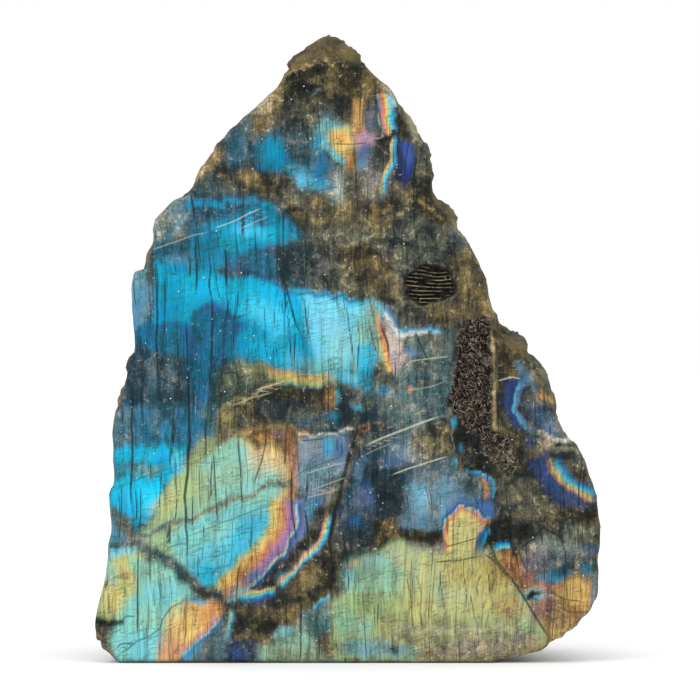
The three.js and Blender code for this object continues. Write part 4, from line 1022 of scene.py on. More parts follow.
patch((0.14, 0.35, 0.5, 0.2, 0.1), 0.7, 0.8, (37.4, 49.8), (1.3, 2.6), 20)
patch("pale grey", 0.6, 0.8, (43, 46.6), (1.4, 2), 30)
area((0.02, 0.75, 0.2, 0.1, 0.02), 0.95, 0.9,
    "31.2,56.6 34,57 33.7,51 33.4,49.4 35,47 34.2,46.2 32.6,47.6 31.4,51")
fringe([0.33, 0.24, 0.12, 0.04], 0.7, 1.3,
    "34.2,57 33.8,53 33.4,50 34.4,48 36.4,46 38.4,44", 0.85, 0.25, 0.12)
area((None, 0, 0.7, 0.4, 0.05), 0.85, 0.8,
    "35.2,47.4 37.4,46 41,44.8 47.4,44.2 48.4,41.4 46,42 41,41.7 38.4,43")
streak("coal", 0.7, 0.5, 0.7, "36,45.6 40,43.6 44,43 47.6,42.6")
streak("white", 0.5, 0.5, 0.7, "37.4,46.4 41,44.6 45,44.6")
patch((0.9, 0.3, 0.6, 0.6, 0.3), 0.5, 0.7, (39.6, 43.6), (1.6, 0.6), -20)
patch("pale slate", 0.6, 0.8, (46.4, 39.4), (1.6, 1.4), -35)
patch((None, 0, 0.36, 1), 0.8, 0.8, (45.6, 37), (3, 1.4), -40)
patch("coal", 0.6, 0.7, (42, 41.4), (2.6, 0.6), -5)
area((0.04, 0.55, 0.2, 0.2, 0.03), 0.95, 1.4,
    "36.6,40.4 40,41.4 41.6,38.6 44.6,35.6 49.6,32.6 48,31.6 43,31.4 39.6,34 37,37.4")
patch((0.12, 0.45, 0.4, 0.2, 0.06), 0.6, 0.8, (43.4, 33.6), (1.2, 3.2), 45)
fringe([0.84, 0.78, 0.7, 0.4, 0.26, 0.14, 0.04], 0.85, 3.2,
    "41,41.8 41.6,39 43.6,36.4 46.6,34.2 50.4,32.6", 0.75, 0.06, 0.2)
print("painted:", "the right side")

# %% [markdown]
# ### The small flashes at the top
# Near the tip there are azure, gold and violet patches, and two thin rainbow streaks beside the
# bevel.

# %% Paint: the small flashes at the top
area((0.22, 0.2, 0.4, 0.45), 0.9, 2.2,
    "-20,99 -19.6,104.6 -15,106.6 -8,106.4 -3,107 -1,101 -5,95 -9,94.5 -14,97.6")
area((0.22, 0.8, 0.3, 0.2), 0.9, 1.3,
    "-18.4,99 -18.6,102.4 -16.6,105.2 -14,105 -12.8,102.6 -12,100 -13.4,98.4")
patch((0.25, 0.85, 0.3, 0.2), 0.7, 0.8, (-15.8, 102.4), (1.8, 2.6))
patch((0.2, 0.7, 0.4, 0.2, 0.1), 0.7, 0.8, (-18.2, 101), (1.4, 2.2), -10)
patch((0.3, 0.6, 0.5, 0.2, 0.05), 0.7, 0.8, (-10.6, 98), (3, 1.3), -20)
patch((0.33, 0.8, 0.5, 0.3, 0.2), 0.8, 0.8, (-9, 96.4), (2, 1.4))
patch((0.2, 0.4, 0.34, 0.2, 0.03), 0.7, 0.8, (-22.6, 102), (2.2, 3))
patch((0.17, 0.8, 0.4, 0.2, 0.05), 0.85, 0.7, (-5.8, 98.6), (1.7, 2.8))
patch((0.22, 0.8, 0.5, 0.2, 0.15), 0.7, 0.7, (-4.6, 95.4), (2, 1.4))
patch((0.3, 0.55, 0.36, 0.3), 0.8, 0.9, (-6, 103.8), (2, 1.6))
patch((0.42, 0.7, 0.5, 0.3, 0.1), 0.8, 0.8, (-4, 106.8), (2.6, 1.4))
area((0.64, 0.8, 0.5, 0.7, 0.05), 0.9, 1.2,
    "-5.2,103.6 -3.4,106 -0.6,107.4 1.4,106.4 1.6,102 -0.6,100.8 -3,101.6")
patch((0.74, 0.85, 0.5, 0.8, 0.06), 0.9, 0.8, (-1.2, 104.2), (2.4, 2), 15)
patch((0.78, 0.9, 0.5, 0.8, 0.1), 0.8, 0.7, (-2.2, 105.2), (1.2, 1.2))
fringe([0.6, 0.46, 0.34, 0.28], 0.8, 1.7, "-6.4,104.6 -4.6,102.4 -2.4,100.9 0.2,100", 0.8, 0.15, 0.2)
area((0.8, 0.6, 0.55, 0.9, 0.08), 0.85, 1, "0.2,105 0.4,108 0.6,112.4 2,112.4 2.8,108 3.4,105.4 2,104")
patch((0.94, 0.75, 0.5, 0.5, 0.2), 0.9, 0.7, (2.9, 104.6), (2, 1.6))
patch((0.05, 0.7, 0.5, 0.3, 0.2), 0.9, 0.7, (3, 101.6), (1.6, 2))
patch((0.2, 0.7, 0.5, 0.3, 0.1), 0.8, 0.7, (2.8, 99.2), (1.5, 1.2))
patch((0.06, 0.3, 0.5, 0.4, 0.25), 0.7, 0.8, (4.4, 108.6), (1.2, 3))
streak((None, 0, 0.42, 0.95), 0.8, 2, 0.9, "0.4,102 0.5,98 0.6,93 0.9,88")
patch((0.97, 0.15, 0.66, 0.4, 0.08), 0.8, 0.9, (5, 96), (3, 3))
patch((0.8, 0.5, 0.4, 0.9), 0.8, 0.8, (0.4, 100.4), (1.1, 1.8))
fringe([0.02, 0.96, 0.86, 0.78, 0.7, 0.42, 0.3, 0.26], 0.95, 3.4,
    "6.6,114.2 6.8,111.4 7.3,108.8 8.2,106 8.6,105", 0.95, 0.12, 0.1)
patch((0.36, 0.4, 0.85, 0.4, 0.7), 0.8, 0.7, (8.7, 112.4), (0.8, 2.6), 15)
patch("straw", 0.8, 0.6, (7.4, 115.4), (1.3, 1.6), 30)
streak((0.25, 0.9, 0.5, 0.3, 0.1), 0.8, 0.8, 0.7, "8.6,109.6 8.9,107.6 8.8,106")
area("dark brown", 0.85, 0.8, "9.4,111.2 11,110.6 11.8,108 12.6,105.4 9.4,105 9.2,108")
area((None, 0, 0.86, 0.75, 0.25), 0.9, 1, "10.2,111.8 12,110.6 15.4,106.2 14.2,105.4 12.2,107 10.8,109")
area("coal", 0.95, 0.5, "4.4,104.4 6.6,103.8 9.6,105.2 9.2,106.2 7,105.6")
streak("pale grey", 0.8, 0.5, 0.6, "5,104.6 7,104.9")
area("dark green", 0.95, 0.8,
    "12.6,105.6 15.2,105.4 17.8,100.2 17.6,96 14,94.6 10,94.4 9.4,96.6 11.4,98 12.8,100 12.9,103")
patch((None, 0, 0.4, 0.4), 0.8, 0.8, (15, 100.4), (2, 4))
area((0.02, 0.85, 0.16, 0.1), 0.95, 0.7,
    "9.2,104.8 11,104.4 13.2,104.4 13.1,100.4 12.4,97 10.6,95.2 9,99.6")
patch((0.06, 1, 0.3, 0.1, 0.12), 0.95, 0.6, (11.8, 101.6), (0.9, 2.8), -6)
patch((0.02, 0.3, 0.1, 0.1), 0.8, 0.6, (10, 102.4), (0.7, 2.4))
fringe([0.1, 0.2, 0.3, 0.46, 0.7, 0.8], 0.95, 1.9,
    "6.2,93.6 7,96.4 8,99.4 8.9,102.4 9.3,105", 0.95, 0.15, 0.1)
print("painted:", "the small flashes at the top")

# %% [markdown]
# ### The stripes
# Dull stripes cross the wide flash, where thin twins of the crystal lie the other way.

# %% Paint: the stripes
streak((0.3, 0.05, 0.48, 0.5), 0.93, 2.2, 0.7,
    "-47,30 -45.2,27.2 -42,24 -38,21.3 -35,18.9 -32.4,16.8 -29,15 -26,13.4")
streak((0.3, 0.1, 0.4, 0.5), 0.5, 0.8, 0.8, "-46,28 -42,24 -38,21.2 -33,17.2 -29,14.8")
streak("brown", 0.5, 1.6, 0.9, "-46.6,28.6 -43.6,25.4")
streak((0.3, 0.03, 0.58, 0.45), 0.85, 1.4, 0.8,
    "-46.4,23.6 -42.6,24.7 -39,26 -34.5,27.7 -30,29.4 -26,31.2 -21,33.4 -16,35.2 -12.6,36.4")
streak((0.3, 0.1, 0.48, 0.4), 0.6, 0.6, 0.8, "-42.6,24.9 -39,26.2 -34.5,27.9 -30,29.6")
streak((0.3, 0.3, 0.46, 0.4), 0.6, 0.9, 0.8, "-47.8,28.6 -44,28.9 -40.6,29.6 -38.4,30.2")
streak("slate", 0.7, 0.8, 0.8, "-49,23.2 -46.4,23.4 -43,24.2")
patch("brown", 0.7, 0.7, (-28.8, 14.4), (2.4, 0.8), -25)
patch("coal", 0.5, 0.7, (-33.6, 16.4), (0.9, 0.8))
print("painted:", "the stripes")

# %% [markdown]
# ## Cracks and scratches
#
# Feldspar splits along its grain, so nearly every crack runs upwards, a little crooked. Each one is drawn as
# a few points with a width and a darkness. The mesh stores how near the next crack is, and the material
# turns that into a thin line with a torn edge, finer than the mesh itself. Short pale scratches that run
# upwards are kept in the same way.
#
# Lines that slant across the grain, where the mesh is coarser, would come out dotted. They store on which
# side of the line a point lies and how far away, so that the line itself is found between the points.

# %% The drawn lines: width, darkness or brightness, points
CRACKS = [
    (0.8, 0.8, "1.7,46.6 0.9,44.6 0.2,42 -0.4,39.4 -1.6,36 -2,33 -2.8,30 -3.6,27 -4.2,24 -3.6,21.4"),
    (0.34, 0.95, "-31.9,82 -32,76"),
    (0.5, 0.95, "-32.3,68 -32.4,60 -32.1,50 -32,44 -32.4,38 -33,33 -32.6,26 -32.4,16"),
    (0.3, 0.8, "-32.4,16 -32.6,8 -33,2"),
    (0.36, 0.9, "-30.9,86 -30.5,80 -30.8,72"),
    (0.36, 0.9, "-28.1,87 -27.9,79 -28.1,76 -27.5,72 -27.6,60 -27.9,52"),
    (0.28, 0.8, "-27.3,80 -26.4,75 -25.8,71"),
    (0.3, 0.8, "-25.2,66 -25.3,60 -25.9,54 -25.9,48 -25.4,43 -25.2,38"),
    (0.4, 0.85, "-38.6,84 -38.7,77 -38.4,70 -38.6,64 -38.4,58 -38.4,51"),
    (0.3, 0.8, "-40.2,79 -40,72 -39.4,69"),
    (0.3, 0.7, "-41.6,66 -42,60"),
    (0.42, 0.85, "-43.3,61 -43.5,53 -43.6,46 -43.4,40 -43.8,34 -43,27"),
    (0.34, 0.7, "-45.3,54 -45.4,46"),
    (0.34, 0.8, "-35.5,54 -35.3,47 -35.9,41 -36,37"),
    (0.34, 0.8, "-34.6,50 -35.2,44 -35.8,38.6"),
    (0.3, 0.7, "-37.4,40 -37.8,34 -38.4,29"),
    (0.34, 0.8, "-41.9,36 -41.7,30 -42.4,25"),
    (0.3, 0.65, "-46,35 -46,28.4"),
    (0.36, 0.75, "-28.6,51 -28.8,45 -28.7,40"),
    (0.3, 0.7, "-27.5,42 -27.8,36 -27.4,32"),
    (0.28, 0.6, "-27.6,35 -28.4,31"),
    (0.3, 0.75, "-24.9,36 -24.5,33 -24.9,29"),
    (0.3, 0.7, "-39.8,28 -39.9,22 -39.8,14"),
    (0.36, 0.8, "-41.8,28 -42.3,20 -42.4,12 -42.1,5 -42.4,1"),
    (0.3, 0.65, "-43,21 -43.2,15"),
    (0.26, 0.6, "-45.6,20 -44.6,12"),
    (0.26, 0.6, "-48.3,15 -48.1,9"),
    (0.26, 0.6, "-46.8,15 -47.2,3"),
    (0.26, 0.55, "-37.6,17 -37.9,11"),
    (0.3, 0.7, "-29.2,28 -29.2,23"),
    (0.26, 0.55, "-34.3,27 -34,22"),
    (0.26, 0.55, "-30.2,22 -29.6,18"),
    (0.26, 0.6, "-19.4,32 -19.5,26 -20.2,20"),
    (0.26, 0.5, "-25,19 -24.8,14"),
    (0.26, 0.55, "-37.8,9 -38,1"),
    (0.26, 0.5, "-35.7,8 -35.9,2"),
    (0.3, 0.6, "-32.8,12 -33.4,5"),
    (0.24, 0.5, "-26.4,8 -26.2,3"),
    (0.26, 0.5, "-40.4,9 -40.6,1"),
    (0.42, 0.95, "-15.2,83 -14,79 -12.6,74.5 -11.4,70 -9.8,65.5 -8.8,62.4"),
    (0.34, 0.9, "-10,75 -9,71.6 -8.4,67 -7.5,62.6"),
    (0.28, 0.8, "-13.9,75.6 -13.4,70 -12,68.6 -11.9,62 -11.5,57"),
    (0.24, 0.6, "-12.3,68 -12,63"),
    (0.26, 0.75, "-17.1,68 -16.8,63 -16.2,59"),
    (0.24, 0.6, "-19,69 -18.6,65"),
    (0.24, 0.6, "-24.6,76.6 -23.6,72"),
    (0.24, 0.6, "-22.4,75 -22,70"),
    (0.24, 0.5, "-14.8,64 -14.4,59"),
    (0.26, 0.7, "-18.6,83 -18.6,78"),
    (0.3, 0.8, "-1.2,74 -0.4,70 0,66 0.7,62 1.4,58"),
    (0.3, 0.8, "3,75.4 4.4,71 5.4,66"),
    (0.28, 0.75, "3.4,70 4.7,64 5.8,61 7.4,58.4"),
    (0.5, 0.85, "6.3,68 6.9,65.4 7.6,63.4 8.2,60.6"),
    (0.24, 0.6, "1,59 2.4,55"),
    (0.24, 0.6, "-8.6,61 -8.5,57"),
    (0.28, 0.65, "10.2,77.6 12,72 13,69"),
    (0.3, 0.8, "13.4,70 15,66.4"),
    (0.36, 0.85, "12.6,68 14,64 15.8,60 16.6,57.6"),
    (0.26, 0.6, "10.8,71 11.6,67"),
    (0.24, 0.55, "-3.6,61 -2.6,57"),
    (0.24, 0.55, "-16.4,83 -14.4,80"),
    (0.34, 0.85, "1,107 1,101 1.4,96 1.6,90 1.9,87"),
    (0.28, 0.75, "1.7,99.4 2.1,96 2.8,93"),
    (0.3, 0.75, "5.4,113.4 6,109.6 6.9,106"),
    (0.24, 0.6, "2.9,114 3.8,110"),
    (0.3, 0.75, "8.5,104.6 8.9,100 9.8,96 10.6,94"),
    (0.24, 0.55, "6.4,103 6.2,99"),
    (0.24, 0.6, "-31.6,94 -31.4,89"),
    (0.24, 0.5, "-29,95 -28.6,90"),
    (0.24, 0.6, "-8,106 -8.2,98"),
    (0.24, 0.55, "-13,98 -13.2,95"),
    (0.26, 0.7, "-12,88.6 -11.5,85"),
    (0.24, 0.6, "-20,104 -20.2,100"),
    (0.24, 0.5, "-24.3,104.6 -24.6,100.4"),
    (0.3, 0.85, "-17,49 -16.9,44 -17.4,40.6 -18.6,37 -19.8,33"),
    (0.34, 0.85, "-12.6,46.6 -12.8,41.6 -13.2,38"),
    (0.4, 0.85, "-11.2,41 -11.7,35 -11.5,30 -10.8,25.6 -10.4,22"),
    (0.26, 0.7, "-10.7,45 -10.2,40 -9.6,35"),
    (0.22, 0.5, "-14.3,38 -14.8,35"),
    (0.26, 0.7, "-9.8,36 -9.2,33.4"),
    (0.24, 0.6, "-8.4,36.6 -8,33.4"),
    (0.24, 0.6, "-4.2,40 -4.1,36.4"),
    (0.24, 0.6, "-2.4,45.6 -2.4,42.6 -1.4,41"),
    (0.26, 0.6, "-12,25.6 -11.6,22"),
    (0.26, 0.6, "-15.3,29 -15.2,24"),
    (0.24, 0.55, "-21.4,19 -21,16.4"),
    (0.24, 0.55, "-3.6,9 -3.4,4"),
    (0.24, 0.55, "-11.2,7 -11.4,3"),
    (0.34, 0.8, "27,21.8 29.2,20"),
    (0.34, 0.8, "31.4,26 33.6,22.4 35.4,18.6 36.6,16.4"),
    (0.3, 0.75, "40.6,29.4 42.4,25.6 43.2,20 43.6,14 43.9,10 43.6,6.6"),
    (0.28, 0.8, "12.2,22.6 12.6,16 12.4,11 12.6,8 13.6,2"),
    (0.26, 0.7, "11.2,18.6 12,14.6 12.6,10"),
    (0.26, 0.65, "13.2,18.4 14.6,12.4"),
    (0.28, 0.65, "17.9,21 18.2,15.6 19,11 19.8,7.6"),
    (0.24, 0.55, "17.6,16.6 18.2,12"),
    (0.26, 0.6, "23,24 22.8,19 23.4,14 23.2,8"),
    (0.26, 0.6, "24.4,11.6 25.4,8 26,3 25.6,0.8"),
    (0.24, 0.55, "27.6,13 26.4,10"),
    (0.26, 0.6, "28,10.4 27,5.6"),
    (0.24, 0.5, "31.6,14 30.6,9"),
    (0.24, 0.5, "35,8 34.8,2.6"),
    (0.22, 0.5, "8.8,20 9.4,17 8.6,14"),
    (0.24, 0.5, "26.4,18 25.6,16"),
    (0.24, 0.5, "22.4,29 21.8,26"),
    (0.22, 0.5, "3.9,19.6 4.4,17"),
    (0.3, 0.75, "20.8,39 22.6,34.8 24,33"),
    (0.3, 0.75, "23,38 24.8,33.6 26.6,29 27.2,27"),
    (0.26, 0.6, "15.2,36 15.8,32 17,28.4"),
    (0.24, 0.5, "18,34.6 18.2,29"),
    (0.24, 0.5, "13,34 12,31"),
    (0.22, 0.5, "5.8,53.6 7.6,50.6"),
    (0.32, 0.8, "34,47.4 36.4,45.4 38.4,42.8 39.8,41.4"),
    (0.3, 0.7, "35.2,58 37.6,54.6 40.6,51 43,48.6"),
    (0.24, 0.6, "35.4,53.4 38.6,50.6"),
    (0.24, 0.55, "38,50.6 40.8,46.2"),
    (0.3, 0.7, "39,33.4 41,31.6 42.6,29"),
    (0.24, 0.6, "40.4,37.6 43.2,33.6 45.4,31"),
    (0.24, 0.6, "43.4,39 46,36.6 48,34.4"),
    (0.3, 0.6, "29,64 29.3,56 30.4,47"),
    (0.24, 0.6, "0.8,8.6 2,8.8 3.4,7 4.6,6.6"),
    (0.24, 0.6, "7,1.6 8.6,2.8"),
    # This mark lies in an open pit: painted shade in the pit.
    (0.3, 0.8, "8,2.6 9,2.8"),
    (0.24, 0.6, "-38.6,78 -34,77.4 -31.4,76.2"),
    (0.24, 0.5, "-24.6,72.6 -21,72.2"),
    (0.22, 0.4, "-8,68 -1,68.4"),
    (0.5, 0.9, "-25.4,57.8 -23.6,58 -22.6,57.5"),
    (0.3, 0.8, "-46,46 -44.4,44.2"),
    (0.24, 0.6, "-42.2,46 -41,44.8"),
    (0.26, 0.7, "-41.4,41.4 -40.4,42.2"),
    # The next two marks lie in open pits: painted shade in the pits.
    (0.5, 0.9, "9.6,105.4 8,106.6"),
    (0.55, 0.9, "8.4,110.2 10.8,111"),
    (0.3, 0.7, "5.6,103.6 7.6,105"),
]

SCRATCHES = [
    (0.3, 0.6, "18.6,49 20.2,46 20.9,43 21,40"),
    (0.3, 0.5, "-20.2,58 -20.6,55 -20.4,53"),
    (0.3, 0.5, "-36.4,61 -36.2,56 -36.6,52"),
    (0.3, 0.5, "-37.4,58 -37.6,54 -37.2,51"),
    (0.3, 0.5, "-30.9,56 -30.7,52 -31,48"),
    (0.3, 0.5, "16.6,39.6 17,35 17.4,30"),
    (0.3, 0.5, "15.4,38 15.6,33 15.4,28"),
]

SLANTS = [
    (0.24, -0.4, "-47.5,34.9 -43,36.3 -38,38.1 -33,39.7 -28,39.9 -23.6,40.4"),
    (0.24, -0.45, "-34,24.6 -30,26.1 -25,28.1 -19,30.4 -12.4,32.2"),
    (0.3, -0.5, "-37.2,21.4 -36.2,23 -33,24"),
    (0.3, -0.4, "-28,16.6 -26.6,18.8 -23.6,19.6"),
    (0.3, -0.55, "-47,0.4 -45.8,1.8 -44,2.8 -42.4,4.3 -40,5.2 -38,6.7 -37.2,9 -35.6,11 -33.4,12.1 "
                 "-31.6,12.9"),
    (0.3, -0.6, "-46.8,2.4 -45.7,3.7 -42,4.1"),
    (0.3, -0.6, "-45.6,8 -44.6,9.3 -42.6,9.2"),
    (0.5, -0.7, "26.2,28.2 27.6,26.4 28.4,23.4 29.4,20.4 31.4,18 33.6,15 35.8,11.6 38,7.8 39.9,4.8 40,3.2"),
    (0.3, -0.6, "18.8,23 22.6,24 26,25"),
    (0.3, -0.6, "16.4,20 22,20.4 27,21.4"),
    (0.4, -0.8, "30.4,25.6 33,27 35.4,27.8"),
    (0.3, -0.6, "-10,44.2 -7,44.5 -4.4,44.8"),
    (0.3, -0.6, "34,35 37.4,33.6 41.6,33.6"),
    (0.3, -0.6, "38,30.6 41,29.4 44,30.4 47,29.6"),
    (0.3, -0.6, "37.6,27.4 40.4,26 43,24.6"),
    (0.4, -0.7, "33.8,22.6 36.8,24.8 39,27.6"),
    (0.3, -0.6, "32,41.6 34.6,39.6 37.2,36.6 39.4,34"),
    (0.3, -0.6, "39.6,14.6 43,12.6 47,12.2"),
    (0.3, -0.6, "41,11.4 44.4,10 48.6,10.2"),
    (0.4, -0.7, "27,21.8 29.2,20 32,16.6"),
    (0.24, -0.6, "-3.6,103.6 0.6,103.5 3.8,103.8"),
    (0.24, -0.5, "-12,36 -9,38.4 -5,39.9 -1,41.2"),
    (0.3, 0.45, "-27.4,86.6 -23,88.2 -17.2,91"),
    (0.24, 0.35, "-22,86.6 -16,89.2"),
    (0.3, 0.3, "-39.6,82.4 -35,84 -31.4,85.3 -28,86"),
    (0.42, 0.6, "2.6,43 6,44.6 10,46.2 15,48.1 18.8,49.3"),
    (0.26, 0.25, "3,41.4 6,42.8 9,44"),
    (0.28, 0.65, "8,37.3 12,38.8 16,40.1 20,41.3"),
    (0.3, 0.4, "-9,37.6 -5,38.9 -1,39.9"),
    (0.26, 0.35, "-7.6,34.4 -4,35.8 -0.6,37"),
    (0.3, 0.35, "-9,32.8 -5,33.8 -2,34.8"),
    (0.3, 0.5, "-19,54.3 -16,55.2 -12.6,56.4"),
    (0.3, 0.35, "-24,51 -20,52.7 -15,54"),
    (0.3, 0.4, "10.4,58.4 12.4,60.2 16,60.7 20.4,61.2"),
    (0.3, 0.3, "12,54.4 16,55 19.4,56.2"),
    (0.3, 0.5, "29.6,56.2 32.6,57 34.4,56.6"),
]

# %% Distances to the drawn lines
LINE_EDGE = 0.5
LINE_ENDS = 4.0
SLANT_FADE = 0.16
SLANT_REACH = 12.0


def slants(lines):
    """For each point, how far to one side the next line lies, in widths, and how bright that line is.

    The material can read numbers from 0 to 1 only, so one half stands for a line's middle, or no light."""
    aside, bright, nearest = (np.full(x.shape, value) for value in (0.0, 0.5, 9.0))
    for width, strength, points in lines:
        points = path(points)
        close = near(points, 3)
        distance, share, side = to_line(line_x[close], line_z[close], points)
        better = (distance < nearest[close]) & (distance < 1.6)
        close, distance, share, side = (part[better] for part in (close, distance, share, side))
        nearest[close] = distance
        aside[close] = 0.5 + np.clip(distance * side / width / SLANT_REACH, -0.5, 0.5)
        bright[close] = 0.5 + 0.5 * strength * ease(0, SLANT_FADE, share) * ease(0, SLANT_FADE, 1 - share)
    return aside, bright


def nearness(lines):
    """For each point, LINE_EDGE on a line's edge, more within the line and less outside, per millimetre."""
    field = np.zeros(x.shape)
    for width, strength, points in lines:
        points = path(points)
        close = near(points, 2)
        distance, share, _ = to_line(line_x[close], line_z[close], points)
        ends = 1 - np.clip(LINE_ENDS * np.minimum(share, 1 - share), 0, 1)
        half = width / 2 - 0.09 + 0.1 * (strength - 0.7) - 0.22 * ends
        field[close] = np.maximum(field[close], LINE_EDGE + (half - distance) / 2)
    return field


line_x = x + 0.16 * soft_noise(x, z, 3.4, 21) + 0.05 * soft_noise(x, z, 0.9, 22)
line_z = z
coat["crack"] = nearness(CRACKS)
coat["scratch"] = nearness(SCRATCHES)
coat["aside"], coat["slant"] = slants(SLANTS)
print("cracks:", len(CRACKS), "scratches:", len(SCRATCHES), "slanting lines:", len(SLANTS))

# %% [markdown]
# ## Deeper and lighter places
#
# A clear stone never looks equally deep all over. Last of all, soft ovals make the flash and the plain
# stone under them a little deeper or lighter together.

# %% Soft shades: middle, half sizes, change
SOFT_SHADES = [
    (-13, 103, 8, 4, -0.18), (-17, 98.5, 3, 2.5, -0.35), (-15, 89, 5, 2.5, -0.25), (-28, 84, 4, 3, -0.15),
    (-12, 71.5, 3.5, 4, 0.5), (0, 74, 4, 4, 0.3), (1, 92, 4, 5, 0.25), (3, 114, 2, 3, 0.25),
    (-10.5, 59, 4, 2.5, -0.35), (-23, 51, 8, 8, -0.12), (12, 54, 3, 10, 0.25), (12, 43, 3, 3, 0.3),
    (7, 61.5, 2.5, 5, 0.3), (32, 64, 2, 2, 0.3), (12, 104, 2, 3, 0.4), (37, 52, 2.5, 5, -0.25),
    (43, 34, 4, 3, -0.2), (-40, 34, 5, 3, 0.4), (-43, 24, 5, 5, 0.15), (-40, 10, 8, 5, 0.12),
    (-20, 29, 5, 2.5, -0.2), (-7, 24, 3, 6, 0.25), (-19.5, 18, 5, 4, -0.22), (2, 19.5, 5, 3, -0.35),
    (28, 19, 5, 5, -0.25), (34, 15, 4, 4, -0.18), (2, 5, 7, 4, -0.18), (37, 6, 3, 4, -0.2),
    (22, 71, 3, 3, 0.15),
]
TONE_SHARE = 0.45
for middle_x, middle_z, half_x, half_z, change in SOFT_SHADES:
    change = change * np.exp(-((brush_x - middle_x) / half_x) ** 2 - ((brush_z - middle_z) / half_z) ** 2)
    coat["flash"] *= 1 + change[:, None]
    coat["tone"] = np.clip(coat["tone"] + TONE_SHARE * change, 0, 1)
print("soft shades:", len(SOFT_SHADES))

# %% [markdown]
# ## The broken sides and back
#
# Behind the rim there is no polish and no flash: the stone is dull grey to brown, with paler crust. The
# numbers of the face fade into that over the first millimetre, so that the rim keeps the face's colours.

# %% Numbers for the sides, the back and the hollows
CRUST_TONE = 0.45
CRUST_WARM = 0.6
CHIP_SHADE = 0.12
LOWER_LOBE_TOP = 44.5
LOWER_LOBE_TONE = 0.3
depth = behind_face(points)
broken = np.where(on_face, 0.0, ease(0.2, 1.4, depth))
far_back = np.where(on_face, 0.0, ease(1.0, 7.0, depth))
crust = 0.5 * soft_noise(x + depth, z, 9, 41) + 0.3 * soft_noise(x - depth, z, 3, 42)
coat["glow"] *= 1 - broken
coat["haze"] *= 1 - broken
coat["tone"] += broken * (0.1 + 0.5 * CRUST_TONE - 0.5 * coat["tone"])
coat["tone"] += far_back * (CRUST_TONE + 0.3 * crust - coat["tone"])
coat["warm"] += far_back * (CRUST_WARM + 0.4 * soft_noise(x, z + depth, 7, 43) - coat["warm"])
# Painted shade: where the broken surface is cut in deeper it is darker, and where it stands out it is
# lighter.
coat["tone"] += broken * CHIP_SHADE * (chipped.mean() - chipped)
for line in ("crack", "scratch", "aside"):
    coat[line] *= 1 - broken

sawn, rough = in_sawn_hollow(x, z), in_rough_hollow(x, z)
deep = np.where(on_face, ease(-0.2, 0.4, np.maximum(sawn, rough)), 0)
# Painted highlight and shade: in the sawn hollow the crests of the saw ridges, close to the polish, are made
# lighter and the deeper troughs between them dark.
ridges = np.where(sawn > 0, ease(0.7, 0.35, relief) * ease(0.3, 0.9, sawn), 0)
coat["glow"] *= 1 - deep
coat["haze"] *= 1 - deep
coat["tone"] += deep * (0.04 + 0.66 * ridges - coat["tone"])
coat["warm"] += deep * (0.6 - coat["warm"])
coat["crack"] *= 1 - deep
coat["aside"] *= 1 - deep
coat["needles"] = deep * np.where(rough > sawn, 1.0, 0.1)
low = ease(LOWER_LOBE_TOP + 1, LOWER_LOBE_TOP - 3, z)
coat["tone"] += np.where((rough > 0) & on_face, LOWER_LOBE_TONE * deep * low, 0)
coat["dull"] = np.maximum(broken, 0.8 * deep)
print("broken points:", int((broken > 0.5).sum()), "points in hollows:", int((deep > 0.5).sum()))

# %% [markdown]
# ## The finished piece
#
# The numbers are stored as attributes of the mesh, where the material can read them by name. The piece also
# gets a UV map of its own: the polished face is laid out flat and large, because that is where the detail
# is, and the rest is unwrapped into the strip beside it.

# %% From the bmesh to the finished piece
stone.to_mesh(skin_mesh)
face_squares = [all(on_face[v.index] for v in square.verts) for square in stone.faces]
stone.free()
skin_mesh.polygons.foreach_set("use_smooth", [True] * len(skin_mesh.polygons))
flash = skin_mesh.attributes.new("stone_flash", "FLOAT_COLOR", "POINT")
opaque = np.ones((len(x), 1))
flash.data.foreach_set("color", np.hstack([coat.pop("flash"), opaque]).astype(np.float32).ravel())
for name, numbers in coat.items():
    attribute = skin_mesh.attributes.new("stone_" + name, "FLOAT", "POINT")
    attribute.data.foreach_set("value", np.clip(numbers, 0, 1).astype(np.float32))

chunk = bpy.data.objects.new("labradorite_chunk_stone", skin_mesh)
bpy.context.collection.objects.link(chunk)
print("triangles:", sum(len(square.vertices) - 2 for square in skin_mesh.polygons))

# %% The map of the surface
MAP_NAME = "OFBake"
FACE_MAP = (0.75, 0.93)
MAP_EDGE = 0.004


def unwrap_rest():
    """Unwraps everything but the polished face with Blender's own tool."""
    bpy.context.view_layer.objects.active = chunk
    chunk.select_set(True)
    skin_mesh.polygons.foreach_set("select", [not flat for flat in face_squares])
    bpy.ops.object.mode_set(mode="EDIT")
    bpy.ops.uv.smart_project(angle_limit=math.radians(60), island_margin=MAP_EDGE)
    bpy.ops.object.mode_set(mode="OBJECT")
    chunk.select_set(False)


skin_mesh.uv_layers.new(name=MAP_NAME)
unwrap_rest()
layer = skin_mesh.uv_layers[MAP_NAME]
places = np.zeros(len(skin_mesh.loops) * 2, np.float32)
layer.uv.foreach_get("vector", places)
places = places.reshape(-1, 2)
places[:, 0] = FACE_MAP[0] + MAP_EDGE + places[:, 0] * (1 - FACE_MAP[0] - 2 * MAP_EDGE)
corner_points = np.zeros(len(skin_mesh.loops), int)
skin_mesh.loops.foreach_get("vertex_index", corner_points)
flat_corners = np.repeat(face_squares, [len(square.vertices) for square in skin_mesh.polygons])
across = (x[corner_points] - x.min()) / (x.max() - x.min())
up = z[corner_points] / z.max()
places[flat_corners, 0] = MAP_EDGE + across[flat_corners] * (FACE_MAP[0] - 2 * MAP_EDGE)
places[flat_corners, 1] = MAP_EDGE + up[flat_corners] * (FACE_MAP[1] - 2 * MAP_EDGE)
layer.uv.foreach_set("vector", places.ravel())
print("face squares on the map:", sum(face_squares), "of", len(face_squares))

# %% [markdown]
# ## Building shader nodes in a few words
#
# A material is a tree of nodes. Two helpers keep the trees short: one places a node and joins its inputs,
# and one does a sum. The colours are written as people read them, from 0 to 255, and turned into the linear
# values that a renderer needs.

